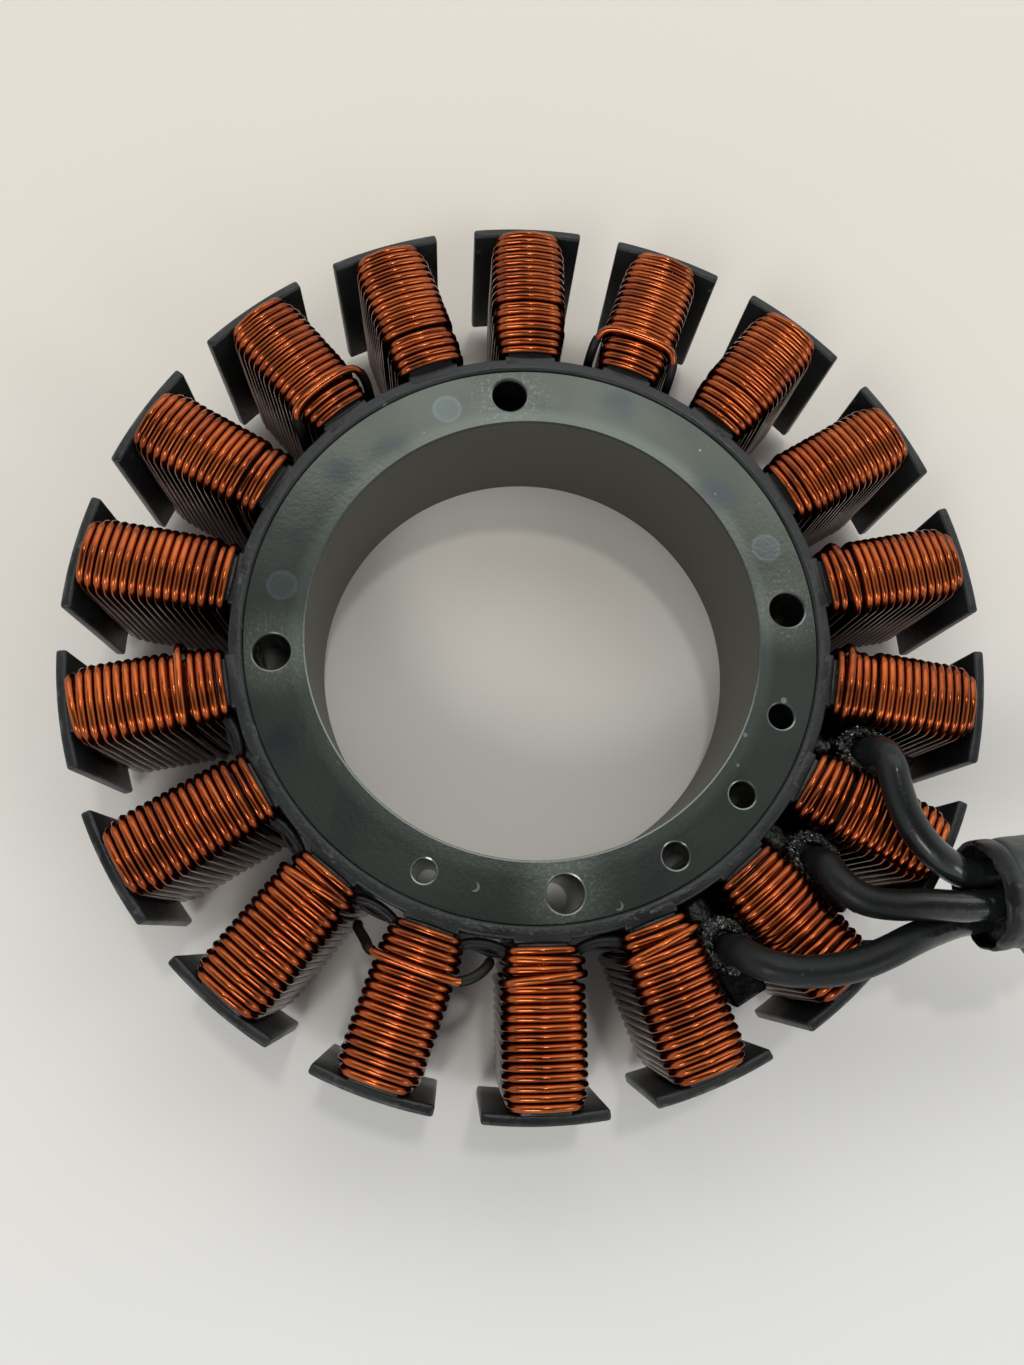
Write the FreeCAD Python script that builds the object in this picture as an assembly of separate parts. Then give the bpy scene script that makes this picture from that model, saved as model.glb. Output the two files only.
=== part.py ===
import FreeCAD, Part
import math
import os

os.makedirs("parts", exist_ok=True)
Vector = FreeCAD.Vector

# A wound stator: a ring of bonded steel laminations with T-shaped poles, one copper coil on each pole,
# three sleeved leads potted into the slots, and the round moulded plug that they run to.
# Millimetres. Z = 0 is the back clamp face and +Z points to the side where the leads leave.
# The four mounting holes lie on the X and Y axes. Poles are counted clockwise, seen from +Z.

# Lamination ring
ring_height = 22.6
ring_outer_r = 42.3
ring_width = 10.35
bore_back_chamfer = 0.7
bore_front_chamfer = 0.3
coat_rim_width = 1.9
coat_lip_height = 0.45
register_depth = 1.7

# Poles and their shoes
pole_count = 18
first_pole_deg = 85.0
tooth_width = 6.7
shoe_outer_r = 65.0
shoe_thickness = 1.5
shoe_half_deg = 7.36
shoe_stand = 0.15
shoe_edge_break = 0.4
tip_corner_break = 0.5
tab_width = 7.6
tab_length = 0.4

# Holes in the ring, all on one circle
steel_inside_holes = 2.0
mount_hole_r = 2.55
mount_hole_count = 4
lead_side_hole_r = 1.8
index_hole_r = 1.55
index_hole_deg = -120.0

# Coils: level 1 is one layer of wire, level 2 both layers, level 3 a turn that rides up
wire_d = 1.15
turn_pitch = 1.19
turn_groove = 0.42
ride_up = 0.45
coil_corner = 0.75
coil_gap = 0.1

# The level of each turn of each coil, from the ring outwards
coil_plans = (
    "11222212222222222",
    "11221222222222222",
    "11221222222222222",
    "11222222222222222",
    "11222222222222222",
    "11111222222222222",
    "12221222222222222",
    "12222222222222222",
    "11222222222222222",
    "11222222222222222",
    "11221122222222222",
    "11222222222222222",
    "11222222222222222",
    "12223122222222222",
    "11222222222222222",
    "12212222222222222",
    "11112222222222222",
    "12212222222222222",
)

# Leads and the potting that holds them in their slots
lead_d = 4.2
poles_before_leads = (6, 7, 8)
lead_exit_steps = (0.0, 0.0, 0.5)
lead_hold = 4.5
potting_back_z = 3.0
potting_drop = 6.25
potting_end_gap = 5.0
potting_half_width = 2.7
potting_side_gap = 0.25
blob_r = 3.0
blob_side_gap = 0.03
blob_height = 4.4
blob_chamfer = 0.6
blob_foot = 1.0
blob_sides = 14
fit_gap = 0.05

# The leads' bends: share of the way from the potting to the plug, angle, and height above the coils
lead_coil_gap = 0.1
lead_rises = (-3.3, -4.2, -4.0)
lead_bends = (
    (
        (0.059, -27.21, 0.2), (0.164, -31.48, 0.4), (0.306, -34.46, 0.3),
        (0.489, -36.41, 0.2), (0.686, -37.07, -0.1),
    ),
    ((0.131, -47.23, -1.4), (0.313, -47.31, -1.0), (0.505, -45.27, -0.8), (0.691, -42.39, -0.4)),
    (
        (0.165, -64.06, -0.2), (0.321, -61.02, 0.3), (0.454, -57.69, 0.4), (0.57, -54.13, 0.3),
        (0.652, -50.29, 0.1), (0.748, -46.94, -1.5), (0.872, -43.67, -3.6),
    ),
)

# Where the leads run into the plug's mouth: run before it, then sideways and up in lead diameters
lead_ends = ((1.2, 0.64, 0.21), (2.2, -0.33, 0.55), (1.8, -0.69, -0.45))

# How finely bends and round sections are stepped
arc_share = 0.45
arc_step_deg = 15.0
lead_sides = 12
wire_sides = 8

# Round plug with its boot, which starts just outside the shoes
plug_side_deg = -40.95
plug_drop = 2.65
boot_shoe_gap = 0.5
boot_r = 7.35
boot_wall = 0.75
boot_length = 17.0
mouth_depth = 3.0
glue_depth = 1.6
plug_body_r = 6.2
plug_flange_r = 7.9
plug_flange_width = 2.0
plug_nose_r = 6.6
plug_nose_length = 14.0
contact_circle_r = 3.4
contact_r = 1.2
contact_hole_r = 1.7
contact_length = 9.0
contact_hole_depth = 11.0
contact_count = 3
key_start = 4.2
key_length = 11.0
key_height = 2.0
key_width = 2.6
key_slant = 1.6
key_foot = 1.0

# Thin wires between the coils
sleeve_r = 0.85
sleeve_share = 0.55
sleeve_gap = 0.06
crossing_turns = (4, 4.5, 3)
crossing_ride = 0.3
crossing_slant = 0.5
crossing_shoulder = 0.9
crossing_knee_drop = 2.0
crossing_leans = (0.6, 1.6, 0.5)
crossing_foot_zs = (4.0, 4.0, 10.0)
link_end_gap = 0.25
link_stands = (2.2, 3.4)
link_drops = (5.0, 1.2, 0.8, 3.6, 8.0)
link_side_step = 0.7
jumper_first_poles = (9, 10, 11, 12, 13)
jumper_drop = 1.55
jumper_rise = 0.3
jumper_end_gap = 0.25
loom_r = 1.02
loom_first_pole = 1
loom_steps = 15
loom_leg = 6.0
loom_leg_gap = 1.0
loom_tuck = 0.25
loom_turn_in_deg = 4.0

# How far a cutting shape runs past what it cuts
overrun = 1.0

# Worked out from the sizes above
bore_r = ring_outer_r - ring_width
register_r = ring_outer_r - coat_rim_width
mount_circle_r = bore_r + steel_inside_holes + mount_hole_r
pole_step_deg = 360.0 / pole_count
half_step = math.radians(pole_step_deg / 2)
lead_slot_degs = [first_pole_deg - (number - 0.5) * pole_step_deg for number in poles_before_leads]
shoe_inner_r = shoe_outer_r - shoe_thickness
stack_front_z = ring_height + shoe_stand
stack_back_z = -register_depth
lip_front_z = ring_height + coat_lip_height
lead_r = lead_d / 2
coil_half_width = tooth_width / 2 + 2 * wire_d
coil_front_z = stack_front_z + 2 * wire_d
coil_back_z = stack_back_z - 2 * wire_d
shoe_face_x = math.sqrt(shoe_inner_r ** 2 - coil_half_width ** 2)
first_turn_x = shoe_face_x - coil_gap - turn_pitch / 2
coil_root_x = ring_outer_r + tab_length + coil_gap
turn_count = int((first_turn_x - turn_pitch / 2 - coil_root_x) / turn_pitch) + 1
over_coil_z = coil_front_z + lead_r + lead_coil_gap
potting_front_z = stack_front_z - potting_drop
lead_foot_z = potting_front_z - lead_hold
lead_exit_r = (coil_half_width + blob_r + blob_side_gap) / math.sin(half_step)
plug_y = shoe_outer_r * math.sin(math.radians(plug_side_deg))
plug_z = over_coil_z - plug_drop
boot_start_x = math.sqrt((shoe_outer_r + boot_shoe_gap) ** 2 - (plug_y + boot_r) ** 2)
mouth_r = math.hypot(boot_start_x, plug_y)


def turn_x(turn):
    """Distance of a turn's middle from the axis; turn 0 lies at the shoe."""
    return first_turn_x - turn * turn_pitch


def inner_turn_x(turn):
    """Distance of a turn's middle from the axis, counted from the ring; turn 0 lies at the ring."""
    return turn_x(turn_count - 1 - turn)


def pole_deg(number):
    """Angle of a pole, counted clockwise from pole 1."""
    return first_pole_deg - (number - 1) * pole_step_deg


def polar(r, deg, z=0.0):
    angle = math.radians(deg)
    return Vector(r * math.cos(angle), r * math.sin(angle), z)


def pole_point(number, x, t, z):
    """A point x outwards along a pole, t clockwise of its middle plane."""
    angle = math.radians(pole_deg(number))
    return Vector(x * math.cos(angle) + t * math.sin(angle), x * math.sin(angle) - t * math.cos(angle), z)


def turned(shape, deg):
    shape.rotate(Vector(0, 0, 0), Vector(0, 0, 1), deg)
    return shape


def side_deg(r, half_width):
    return math.degrees(math.asin(half_width / r))


def arc(r, start_deg, end_deg):
    middle_deg = (start_deg + end_deg) / 2
    return Part.Arc(polar(r, start_deg), polar(r, middle_deg), polar(r, end_deg)).toShape()


def line(start, end):
    return Part.LineSegment(start, end).toShape()


def cylinder(r, z_low, z_high, at=Vector(0, 0, 0)):
    return Part.makeCylinder(r, z_high - z_low, Vector(at.x, at.y, z_low), Vector(0, 0, 1))


def round_bar(r, start, direction, length):
    return Part.makeCylinder(r, length, start, direction)


def box(low, high):
    return Part.makeBox(high.x - low.x, high.y - low.y, high.z - low.z, low)


def save(name, shape):
    shape = shape.removeSplitter()
    solids = shape.Solids
    shape = solids[0] if len(solids) == 1 else Part.makeCompound(solids)
    shape.exportStep("parts/%s.step" % name)
    low, high = shape.BoundBox.ZMin, shape.BoundBox.ZMax
    words = "%-20s solids %d  valid %s  volume %.1f  z %.2f to %.2f"
    print(words % (name, len(solids), shape.isValid(), shape.Volume, low, high))


def solid_through(sections):
    """A closed solid with flat faces through outlines that have as many corners each."""
    faces = [Part.Face(Part.makePolygon(section + section[:1])) for section in (sections[0], sections[-1])]
    for near, far in zip(sections, sections[1:]):
        for index in range(len(near)):
            following = (index + 1) % len(near)
            corners = [near[index], near[following], far[following], far[index]]
            faces.append(Part.Face(Part.makePolygon(corners + corners[:1])))
    return Part.makeSolid(Part.makeShell(faces))


def rounded_route(points):
    """A route whose corners are arcs as large as the runs allow, each arc as short straight steps."""
    route = [points[0]]
    radii = []
    for before, corner, after in zip(points, points[1:], points[2:]):
        inward = before - corner
        outward = after - corner
        run = arc_share * min(inward.Length, outward.Length)
        inward.normalize()
        outward.normalize()
        turn = math.pi - inward.getAngle(outward)
        radius = run / math.tan(turn / 2)
        radii.append(radius)
        middle = inward + outward
        middle.normalize()
        centre = corner + middle * (radius / math.cos(turn / 2))
        steps = max(1, round(math.degrees(turn) / arc_step_deg))
        half_step = turn / steps / 2
        spoke = (corner + inward * run - centre) * (1 / math.cos(half_step))
        for step in range(steps):
            angle = math.degrees((2 * step + 1) * half_step)
            route.append(centre + FreeCAD.Rotation(outward.cross(inward), angle).multVec(spoke))
    route.append(points[-1])
    return route, min(radii)


def tube(points, radius, sides):
    """A bar with flat sides along a rounded route, mitred at each step."""
    route, smallest = rounded_route(points)
    along = route[1] - route[0]
    along.normalize()
    start = along.cross(Vector(0, 0, 1) if abs(along.z) < 0.9 else Vector(1, 0, 0))
    start.normalize()
    turns = [FreeCAD.Rotation(along, 360.0 * side / sides) for side in range(sides)]
    section = [route[0] + turn.multVec(start * radius) for turn in turns]
    sections = [section]
    length = 0.0
    for index in range(1, len(route)):
        along = route[index] - route[index - 1]
        length += along.Length
        along.normalize()
        plane = along
        if index < len(route) - 1:
            onward = route[index + 1] - route[index]
            plane = along + onward.normalize()
        reach = along * (1 / along.dot(plane))
        section = [point + reach * (route[index] - point).dot(plane) for point in section]
        sections.append(section)
    bar = solid_through(sections)
    exact = sides / 2.0 * math.sin(2 * math.pi / sides) * radius ** 2 * length
    words = "tube length %.1f  smallest radius %.2f  volume %.3f of exact"
    print(words % (length, smallest, bar.Volume / exact))
    return bar


def core_outline():
    """The outline of ring, poles and shoes, counter-clockwise."""
    half_tooth = tooth_width / 2
    root = side_deg(ring_outer_r, half_tooth)
    neck = side_deg(shoe_inner_r, half_tooth)
    corner = side_deg(shoe_outer_r, tip_corner_break)
    corner_r = shoe_outer_r - tip_corner_break
    edges = []
    for number in range(pole_count):
        mid = first_pole_deg + number * pole_step_deg
        right, left = mid - shoe_half_deg, mid + shoe_half_deg
        edges.append(line(polar(ring_outer_r, mid - root), polar(shoe_inner_r, mid - neck)))
        edges.append(arc(shoe_inner_r, mid - neck, right))
        edges.append(line(polar(shoe_inner_r, right), polar(corner_r, right)))
        edges.append(line(polar(corner_r, right), polar(shoe_outer_r, right + corner)))
        edges.append(arc(shoe_outer_r, right + corner, left - corner))
        edges.append(line(polar(shoe_outer_r, left - corner), polar(corner_r, left)))
        edges.append(line(polar(corner_r, left), polar(shoe_inner_r, left)))
        edges.append(arc(shoe_inner_r, left, mid + neck))
        edges.append(line(polar(shoe_inner_r, mid + neck), polar(ring_outer_r, mid + root)))
        edges.append(arc(ring_outer_r, mid + root, mid + pole_step_deg - root))
    return Part.Face(Part.Wire(edges))


def shoe_rims(shape):
    """The long curved edges of the shoes' outer faces."""
    rims = []
    for edge in shape.Edges:
        curve = edge.Curve
        if isinstance(curve, Part.Circle) and abs(curve.Radius - shoe_outer_r) < 1e-6:
            rims.append(edge)
    return rims


def ring_holes():
    through_low, through_high = stack_back_z - overrun, lip_front_z + overrun
    holes = []
    for number in range(mount_hole_count):
        at = polar(mount_circle_r, number * 360.0 / mount_hole_count)
        holes.append(cylinder(mount_hole_r, through_low, through_high, at))
    for deg in lead_slot_degs:
        holes.append(cylinder(lead_side_hole_r, through_low, through_high, polar(mount_circle_r, deg)))
    at = polar(mount_circle_r, index_hole_deg)
    holes.append(cylinder(index_hole_r, through_low, through_high, at))
    return holes


def stator_core():
    body = core_outline().extrude(Vector(0, 0, stack_front_z - stack_back_z))
    body.translate(Vector(0, 0, stack_back_z))
    body = body.makeChamfer(shoe_edge_break, shoe_rims(body))
    lip = cylinder(ring_outer_r, stack_back_z, lip_front_z)
    tab_low = Vector(register_r, -tab_width / 2, stack_back_z)
    tab_high = Vector(ring_outer_r + tab_length, tab_width / 2, lip_front_z)
    tabs = [turned(box(tab_low, tab_high), pole_deg(number + 1)) for number in range(pole_count)]
    body = body.fuse([lip] + tabs)
    back_recess = cylinder(register_r, stack_back_z - overrun, 0)
    front_recess = cylinder(register_r, ring_height, lip_front_z + overrun)
    bore = cylinder(bore_r, stack_back_z - overrun, lip_front_z + overrun)
    wide = bore_r + bore_back_chamfer
    back_chamfer = Part.makeCone(wide, bore_r, bore_back_chamfer, Vector(0, 0, 0), Vector(0, 0, 1))
    wide = bore_r + bore_front_chamfer
    front_low = Vector(0, 0, ring_height - bore_front_chamfer)
    front_chamfer = Part.makeCone(bore_r, wide, bore_front_chamfer, front_low, Vector(0, 0, 1))
    return body.cut([back_recess, front_recess, bore, back_chamfer, front_chamfer] + ring_holes())


def coil_section(x, level, groove):
    """The eight-sided outline of a coil at x, for a level and a depth below the crest."""
    grow = min(level, 2) * wire_d + (ride_up if level == 3 else 0.0) - groove
    cut = coil_corner * min(level, 2)
    half = tooth_width / 2 + grow
    low, high = stack_back_z - grow, stack_front_z + grow
    if level == 3:
        low = coil_back_z + groove
    corners = (
        (cut - half, low), (half - cut, low), (half, low + cut), (half, high - cut),
        (half - cut, high), (cut - half, high), (-half, high - cut), (-half, low + cut),
    )
    return [Vector(x, y, z) for y, z in corners]


def coil(number):
    """One coil: a ridge for each turn, with the tooth's passage through it."""
    plan = coil_plans[(number - 1) % len(coil_plans)]
    levels = [int(plan[min(turn_count - 1 - turn, len(plan) - 1)]) for turn in range(turn_count)]
    sections = [coil_section(first_turn_x + turn_pitch / 2, levels[0], turn_groove)]
    for turn, level in enumerate(levels):
        x = turn_x(turn)
        sections.append(coil_section(x, level, 0.0))
        following = levels[min(turn + 1, turn_count - 1)]
        sections.append(coil_section(x - turn_pitch / 2, min(level, following), turn_groove))
    winding = solid_through(sections)
    half = tooth_width / 2 + coil_gap / 2
    low = Vector(ring_outer_r, -half, stack_back_z - coil_gap / 2)
    high = Vector(shoe_outer_r, half, stack_front_z + coil_gap / 2)
    return turned(winding.cut(box(low, high)), pole_deg(number))


def lead_start(index):
    return polar(lead_exit_r + lead_exit_steps[index], lead_slot_degs[index])


def lead_route(index):
    """Up out of the potting, over the coils beside it and into the plug's mouth."""
    start = lead_start(index)
    route = [start + Vector(0, 0, lead_foot_z), start + Vector(0, 0, over_coil_z + lead_rises[index])]
    for share, deg, height in lead_bends[index]:
        route.append(polar(lead_exit_r + share * (mouth_r - lead_exit_r), deg, over_coil_z + height))
    run, aside, up = lead_ends[index]
    route.append(plug_point(-run, aside * lead_d, up * lead_d))
    route.append(plug_point(mouth_depth, aside * lead_d, up * lead_d))
    return route


def lead_seal(index):
    """Potting that fills the slot round a lead's joint, with a raised collar where the lead leaves."""
    inner_x, outer_x = bore_r, shoe_inner_r - potting_end_gap
    reach = coil_half_width + potting_side_gap
    wide_x = (potting_half_width * math.cos(half_step) + reach) / math.sin(half_step)
    root_half = (ring_outer_r * math.sin(half_step) - reach) / math.cos(half_step)
    corners = (
        (inner_x, -root_half), (ring_outer_r, -root_half),
        (wide_x, -potting_half_width), (outer_x, -potting_half_width),
        (outer_x, potting_half_width), (wide_x, potting_half_width),
        (ring_outer_r, root_half), (inner_x, root_half),
    )
    points = [Vector(x, y, potting_back_z) for x, y in corners]
    face = Part.Face(Part.makePolygon(points + points[:1]))
    block = face.extrude(Vector(0, 0, potting_front_z - potting_back_z))
    exit_at = Vector(lead_exit_r + lead_exit_steps[index], 0, 0)
    top = potting_front_z + blob_height
    rings = ((blob_r, potting_back_z + blob_foot), (blob_r, top - blob_chamfer), (blob_r - blob_chamfer, top))
    sides = [side * 360.0 / blob_sides for side in range(blob_sides)]
    blob = solid_through([[polar(r, side, z) + exit_at for side in sides] for r, z in rings])
    seal = turned(block.fuse(blob), lead_slot_degs[index])
    start = lead_start(index)
    passage = lead_passage(start + Vector(0, 0, lead_foot_z), start + Vector(0, 0, over_coil_z))
    return seal.cut([cylinder(ring_outer_r, 0, ring_height), passage])


def plug_point(x, y=0.0, z=0.0):
    return Vector(boot_start_x + x, plug_y + y, plug_z + z)


def plug_boot():
    """Shrunk rubber sleeve, open at the leads' end, with a moulded key along one side."""
    along = Vector(1, 0, 0)
    sleeve = round_bar(boot_r, plug_point(0), along, boot_length)
    top_y, foot_y = -boot_r - key_height, -boot_r + key_foot
    key_end = key_start + key_length
    corners = ((key_start, foot_y), (key_start + key_slant, top_y), (key_end, top_y), (key_end, foot_y))
    points = [plug_point(x, y, -key_width / 2) for x, y in corners]
    key = Part.Face(Part.makePolygon(points + points[:1])).extrude(Vector(0, 0, key_width))
    mouth = round_bar(boot_r - boot_wall, plug_point(-overrun), along, mouth_depth + overrun)
    inside = round_bar(plug_body_r + fit_gap, plug_point(0), along, boot_length + overrun)
    return sleeve.fuse(key).cut([mouth, inside])


def plug_contacts():
    places = []
    for number in range(contact_count):
        angle = math.radians(90.0 + number * 360.0 / contact_count)
        places.append((contact_circle_r * math.cos(angle), contact_circle_r * math.sin(angle)))
    return places


def plug_body():
    """Moulded insert with a flange against the boot and a nose that holds the contacts."""
    along = Vector(1, 0, 0)
    flange_x = boot_length + fit_gap
    nose_x = flange_x + plug_flange_width
    end_x = nose_x + plug_nose_length
    shank = round_bar(plug_body_r, plug_point(mouth_depth), along, nose_x - mouth_depth)
    flange = round_bar(plug_flange_r, plug_point(flange_x), along, plug_flange_width)
    nose = round_bar(plug_nose_r, plug_point(nose_x), along, plug_nose_length)
    body = shank.fuse([flange, nose])
    wells = []
    for y, z in plug_contacts():
        well_start = plug_point(end_x - contact_hole_depth, y, z)
        wells.append(prism(well_start, plug_point(end_x + overrun, y, z), contact_hole_r, wire_sides))
    return body.cut(wells)


def plug_contact(place):
    y, z = place
    well_x = boot_length + fit_gap + plug_flange_width + plug_nose_length - contact_hole_depth
    return prism(plug_point(well_x, y, z), plug_point(well_x + contact_length, y, z), contact_r, wire_sides)


def mouth_glue(leads):
    """Glue round the leads at the bottom of the boot's mouth."""
    disc = round_bar(boot_r - boot_wall, plug_point(mouth_depth - glue_depth), Vector(1, 0, 0), glue_depth)
    return disc.cut([lead_passage(lead[-1], lead[-2]) for lead in leads])


def crossing(number, turn, lean, foot_zs):
    """A wire that lies in a turn's place on top of a coil and goes down into the slots on both sides."""
    x = inner_turn_x(turn)
    top = stack_front_z + 1.5 * wire_d + crossing_ride
    side = coil_half_width + sleeve_r + fit_gap
    near = coil_half_width - crossing_shoulder
    knee_z = coil_front_z - crossing_knee_drop
    return [
        pole_point(number, x, -side, foot_zs[0]), pole_point(number, x, -side, knee_z),
        pole_point(number, x, -near, top), pole_point(number, x, near, top),
        pole_point(number, x - lean, side, knee_z), pole_point(number, x - lean, side, foot_zs[1]),
    ]


def link_over(number, turn, lean):
    """A wire that comes from the coil before, lies across a coil and goes on to the coil after it."""
    x = inner_turn_x(turn)
    top = stack_front_z + 1.5 * wire_d + crossing_ride
    side = coil_half_width + sleeve_r + fit_gap + link_side_step
    near = coil_half_width - crossing_shoulder
    reach = coil_half_width + sleeve_r + link_end_gap
    start_x, end_x = coil_root_x + link_stands[0], coil_root_x + link_stands[1]
    heights = [coil_front_z - crossing_knee_drop - drop for drop in link_drops]
    return [
        pole_point(number - 1, start_x, reach, heights[0]),
        pole_point(number - 1, start_x, reach, heights[1]),
        pole_point(number, x + crossing_slant, -near, top), pole_point(number, x - crossing_slant, near, top),
        pole_point(number, x - lean, side, heights[2]),
        pole_point(number + 1, end_x, -reach, heights[3]), pole_point(number + 1, end_x, -reach, heights[4]),
    ]


def crossover_routes():
    low, middle, high = crossing_foot_zs
    return (
        (2, crossing(2, crossing_turns[0], crossing_leans[0], (low, middle))),
        (11, link_over(11, crossing_turns[1], crossing_leans[1])),
        (17, crossing(17, crossing_turns[2], crossing_leans[2], (high, middle))),
    )


def prism(start, end, radius, sides):
    along = end - start
    outward = along.cross(Vector(0, 0, 1) if abs(along.x) + abs(along.y) > 0.1 else Vector(1, 0, 0))
    outward.normalize()
    turns = [FreeCAD.Rotation(along, 360.0 * side / sides) for side in range(sides)]
    spokes = [turn.multVec(outward * radius) for turn in turns]
    return solid_through([[start + spoke for spoke in spokes], [end + spoke for spoke in spokes]])


def lead_passage(start, end):
    """The hole that a straight run of a lead goes through, however its flats are turned."""
    return prism(start, end, (lead_r + fit_gap) / math.cos(math.pi / lead_sides), lead_sides)


def sleeves(route):
    """Sleeving on the two legs of a crossover."""
    pieces = []
    for foot, knee in ((route[0], route[1]), (route[-1], route[-2])):
        top = foot + (knee - foot) * sleeve_share
        hollow = prism(foot, top, wire_d / 2 + sleeve_gap, wire_sides)
        pieces.append(prism(foot, top, sleeve_r, wire_sides).cut(hollow))
    return Part.makeCompound(pieces)


def root_jumper(number):
    """A short sleeved wire that lies in the root of a slot, from one coil to the next."""
    beside = tooth_width / 2 + wire_d + jumper_end_gap
    slot_deg = pole_deg(number) - pole_step_deg / 2
    z = stack_front_z - jumper_drop
    start = pole_point(number, coil_root_x + sleeve_r, beside, z)
    end = pole_point(number + 1, coil_root_x + sleeve_r, -beside, z)
    middle = polar(ring_outer_r + sleeve_r + fit_gap, slot_deg, z + jumper_rise)
    return tube([start, middle, end], sleeve_r, wire_sides)


def back_loom():
    """The sleeved loom round the back of the ring that carries the coils' series connections."""
    z = stack_back_z - loom_r - fit_gap
    first = pole_deg(loom_first_pole) - pole_step_deg / 2
    last = first - loom_steps * pole_step_deg
    corner_r = (register_r + coil_root_x) / 2 / math.cos(math.radians(pole_step_deg / 2)) - loom_tuck
    leg_r = coil_root_x + loom_r + loom_leg_gap
    points = [polar(leg_r, first, z + loom_leg), polar(leg_r, first, z)]
    points.append(polar(corner_r, first - loom_turn_in_deg, z))
    points += [polar(corner_r, first - step * pole_step_deg, z) for step in range(1, loom_steps)]
    points.append(polar(corner_r, last + loom_turn_in_deg, z))
    points += [polar(leg_r, last, z), polar(leg_r, last, z + loom_leg)]
    return tube(points, loom_r, wire_sides)


def build():
    save("stator_core", stator_core())
    for number in range(1, pole_count + 1):
        save("coil_%02d" % number, coil(number))
    leads = [lead_route(index) for index in range(len(lead_slot_degs))]
    for index, points in enumerate(leads):
        save("lead_%d" % (index + 1), tube(points, lead_r, lead_sides))
        save("lead_seal_%d" % (index + 1), lead_seal(index))
    save("plug_boot", plug_boot())
    save("plug_body", plug_body())
    for number, place in enumerate(plug_contacts()):
        save("plug_contact_%d" % (number + 1), plug_contact(place))
    save("mouth_glue", mouth_glue(leads))
    for number, route in crossover_routes():
        save("crossover_%02d" % number, tube(route, wire_d / 2, wire_sides))
        save("crossover_sleeves_%02d" % number, sleeves(route))
    for number in jumper_first_poles:
        save("root_jumper_%02d_%02d" % (number, number + 1), root_jumper(number))
    save("back_loom", back_loom())


build()
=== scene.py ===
import math
import random

import bmesh
import bpy
from mathutils import Matrix, Vector, noise


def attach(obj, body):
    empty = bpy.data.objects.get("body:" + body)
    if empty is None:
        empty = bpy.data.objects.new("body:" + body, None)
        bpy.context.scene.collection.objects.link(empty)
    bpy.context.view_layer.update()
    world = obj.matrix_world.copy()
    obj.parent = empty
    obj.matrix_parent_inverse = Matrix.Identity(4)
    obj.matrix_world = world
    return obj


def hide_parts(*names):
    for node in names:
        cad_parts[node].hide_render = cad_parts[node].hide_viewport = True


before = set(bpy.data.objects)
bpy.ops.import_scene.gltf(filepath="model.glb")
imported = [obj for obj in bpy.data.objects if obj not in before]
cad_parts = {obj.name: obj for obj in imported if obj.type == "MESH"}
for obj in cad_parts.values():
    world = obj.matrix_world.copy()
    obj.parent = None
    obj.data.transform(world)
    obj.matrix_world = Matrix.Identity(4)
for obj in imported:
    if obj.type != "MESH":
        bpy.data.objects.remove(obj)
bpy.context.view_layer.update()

mm = 0.001


def polar(radius, degrees, z=0.0):
    angle = math.radians(degrees)
    return Vector((radius * math.cos(angle), radius * math.sin(angle), z)) * mm


poles = {"count": 18, "first": 85.0, "step": 20.0, "toothWidth": 6.7, "top": 22.75, "bottom": -1.7}


def poleDegrees(number):
    return poles["first"] - (number - 1) * poles["step"]


def polePoint(number, outwards, clockwise, height):
    angle = math.radians(poleDegrees(number))
    x = outwards * math.cos(angle) + clockwise * math.sin(angle)
    y = outwards * math.sin(angle) - clockwise * math.cos(angle)
    return Vector((x, y, height)) * mm


def addPiece(name, data, material, nodes=()):
    piece = bpy.data.objects.new(name, data)
    bpy.context.scene.collection.objects.link(piece)
    piece.data.materials.append(material)
    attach(piece, "root")
    if nodes:
        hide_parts(*nodes)


def meshFrom(name, bm, sharpAngle=35.0):
    bmesh.ops.remove_doubles(bm, verts=bm.verts, dist=1e-6)
    bmesh.ops.recalc_face_normals(bm, faces=bm.faces)
    mesh = bpy.data.meshes.new(name)
    bm.to_mesh(mesh)
    bm.free()
    mesh.shade_smooth()
    mesh.set_sharp_from_angle(angle=math.radians(sharpAngle))
    return mesh


def breakEdges(bm, edges, offset, segments=2, affect="EDGES"):
    bmesh.ops.bevel(bm, geom=edges, offset=offset * mm, offset_type="OFFSET", segments=segments, profile=0.5,
                    affect=affect, material=-1)


def breakCorners(bm, corners, offset, segments=3):
    breakEdges(bm, corners, offset, segments, "VERTICES")


def sharpEdges(bm):
    return [edge for edge in bm.edges if edge.calc_face_angle(0.0) > 1.0]


def addCircle(bm, segments, radius, place=(0, 0, 0), filled=False):
    bmesh.ops.create_circle(bm, cap_ends=filled, segments=segments, radius=radius * mm,
                            matrix=Matrix.Translation(place))


def raiseFaces(bm, height):
    made = bmesh.ops.extrude_face_region(bm, geom=bm.faces[:])
    raised = [item for item in made["geom"] if isinstance(item, bmesh.types.BMVert)]
    bmesh.ops.translate(bm, verts=raised, vec=(0, 0, height * mm))
    bmesh.ops.recalc_face_normals(bm, faces=bm.faces)


def raiseOutline(bm, outline, low, height):
    # a block on the outline's points (x, y)
    bm.faces.new([bm.verts.new(Vector((x, y, low)) * mm) for x, y in outline])
    raiseFaces(bm, height)


def turnBy(bm, degrees):
    bmesh.ops.rotate(bm, verts=bm.verts, matrix=Matrix.Rotation(math.radians(degrees), 3, "Z"))


def drawProfile(bm, outline, closed=True):
    # points (along, out) in millimetres, joined by edges in the XZ plane
    corners = [bm.verts.new(Vector((along, 0, out)) * mm) for along, out in outline]
    followers = corners[1:] + (corners[:1] if closed else [])
    for near, far in zip(corners, followers):
        bm.edges.new((near, far))
    return corners


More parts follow.
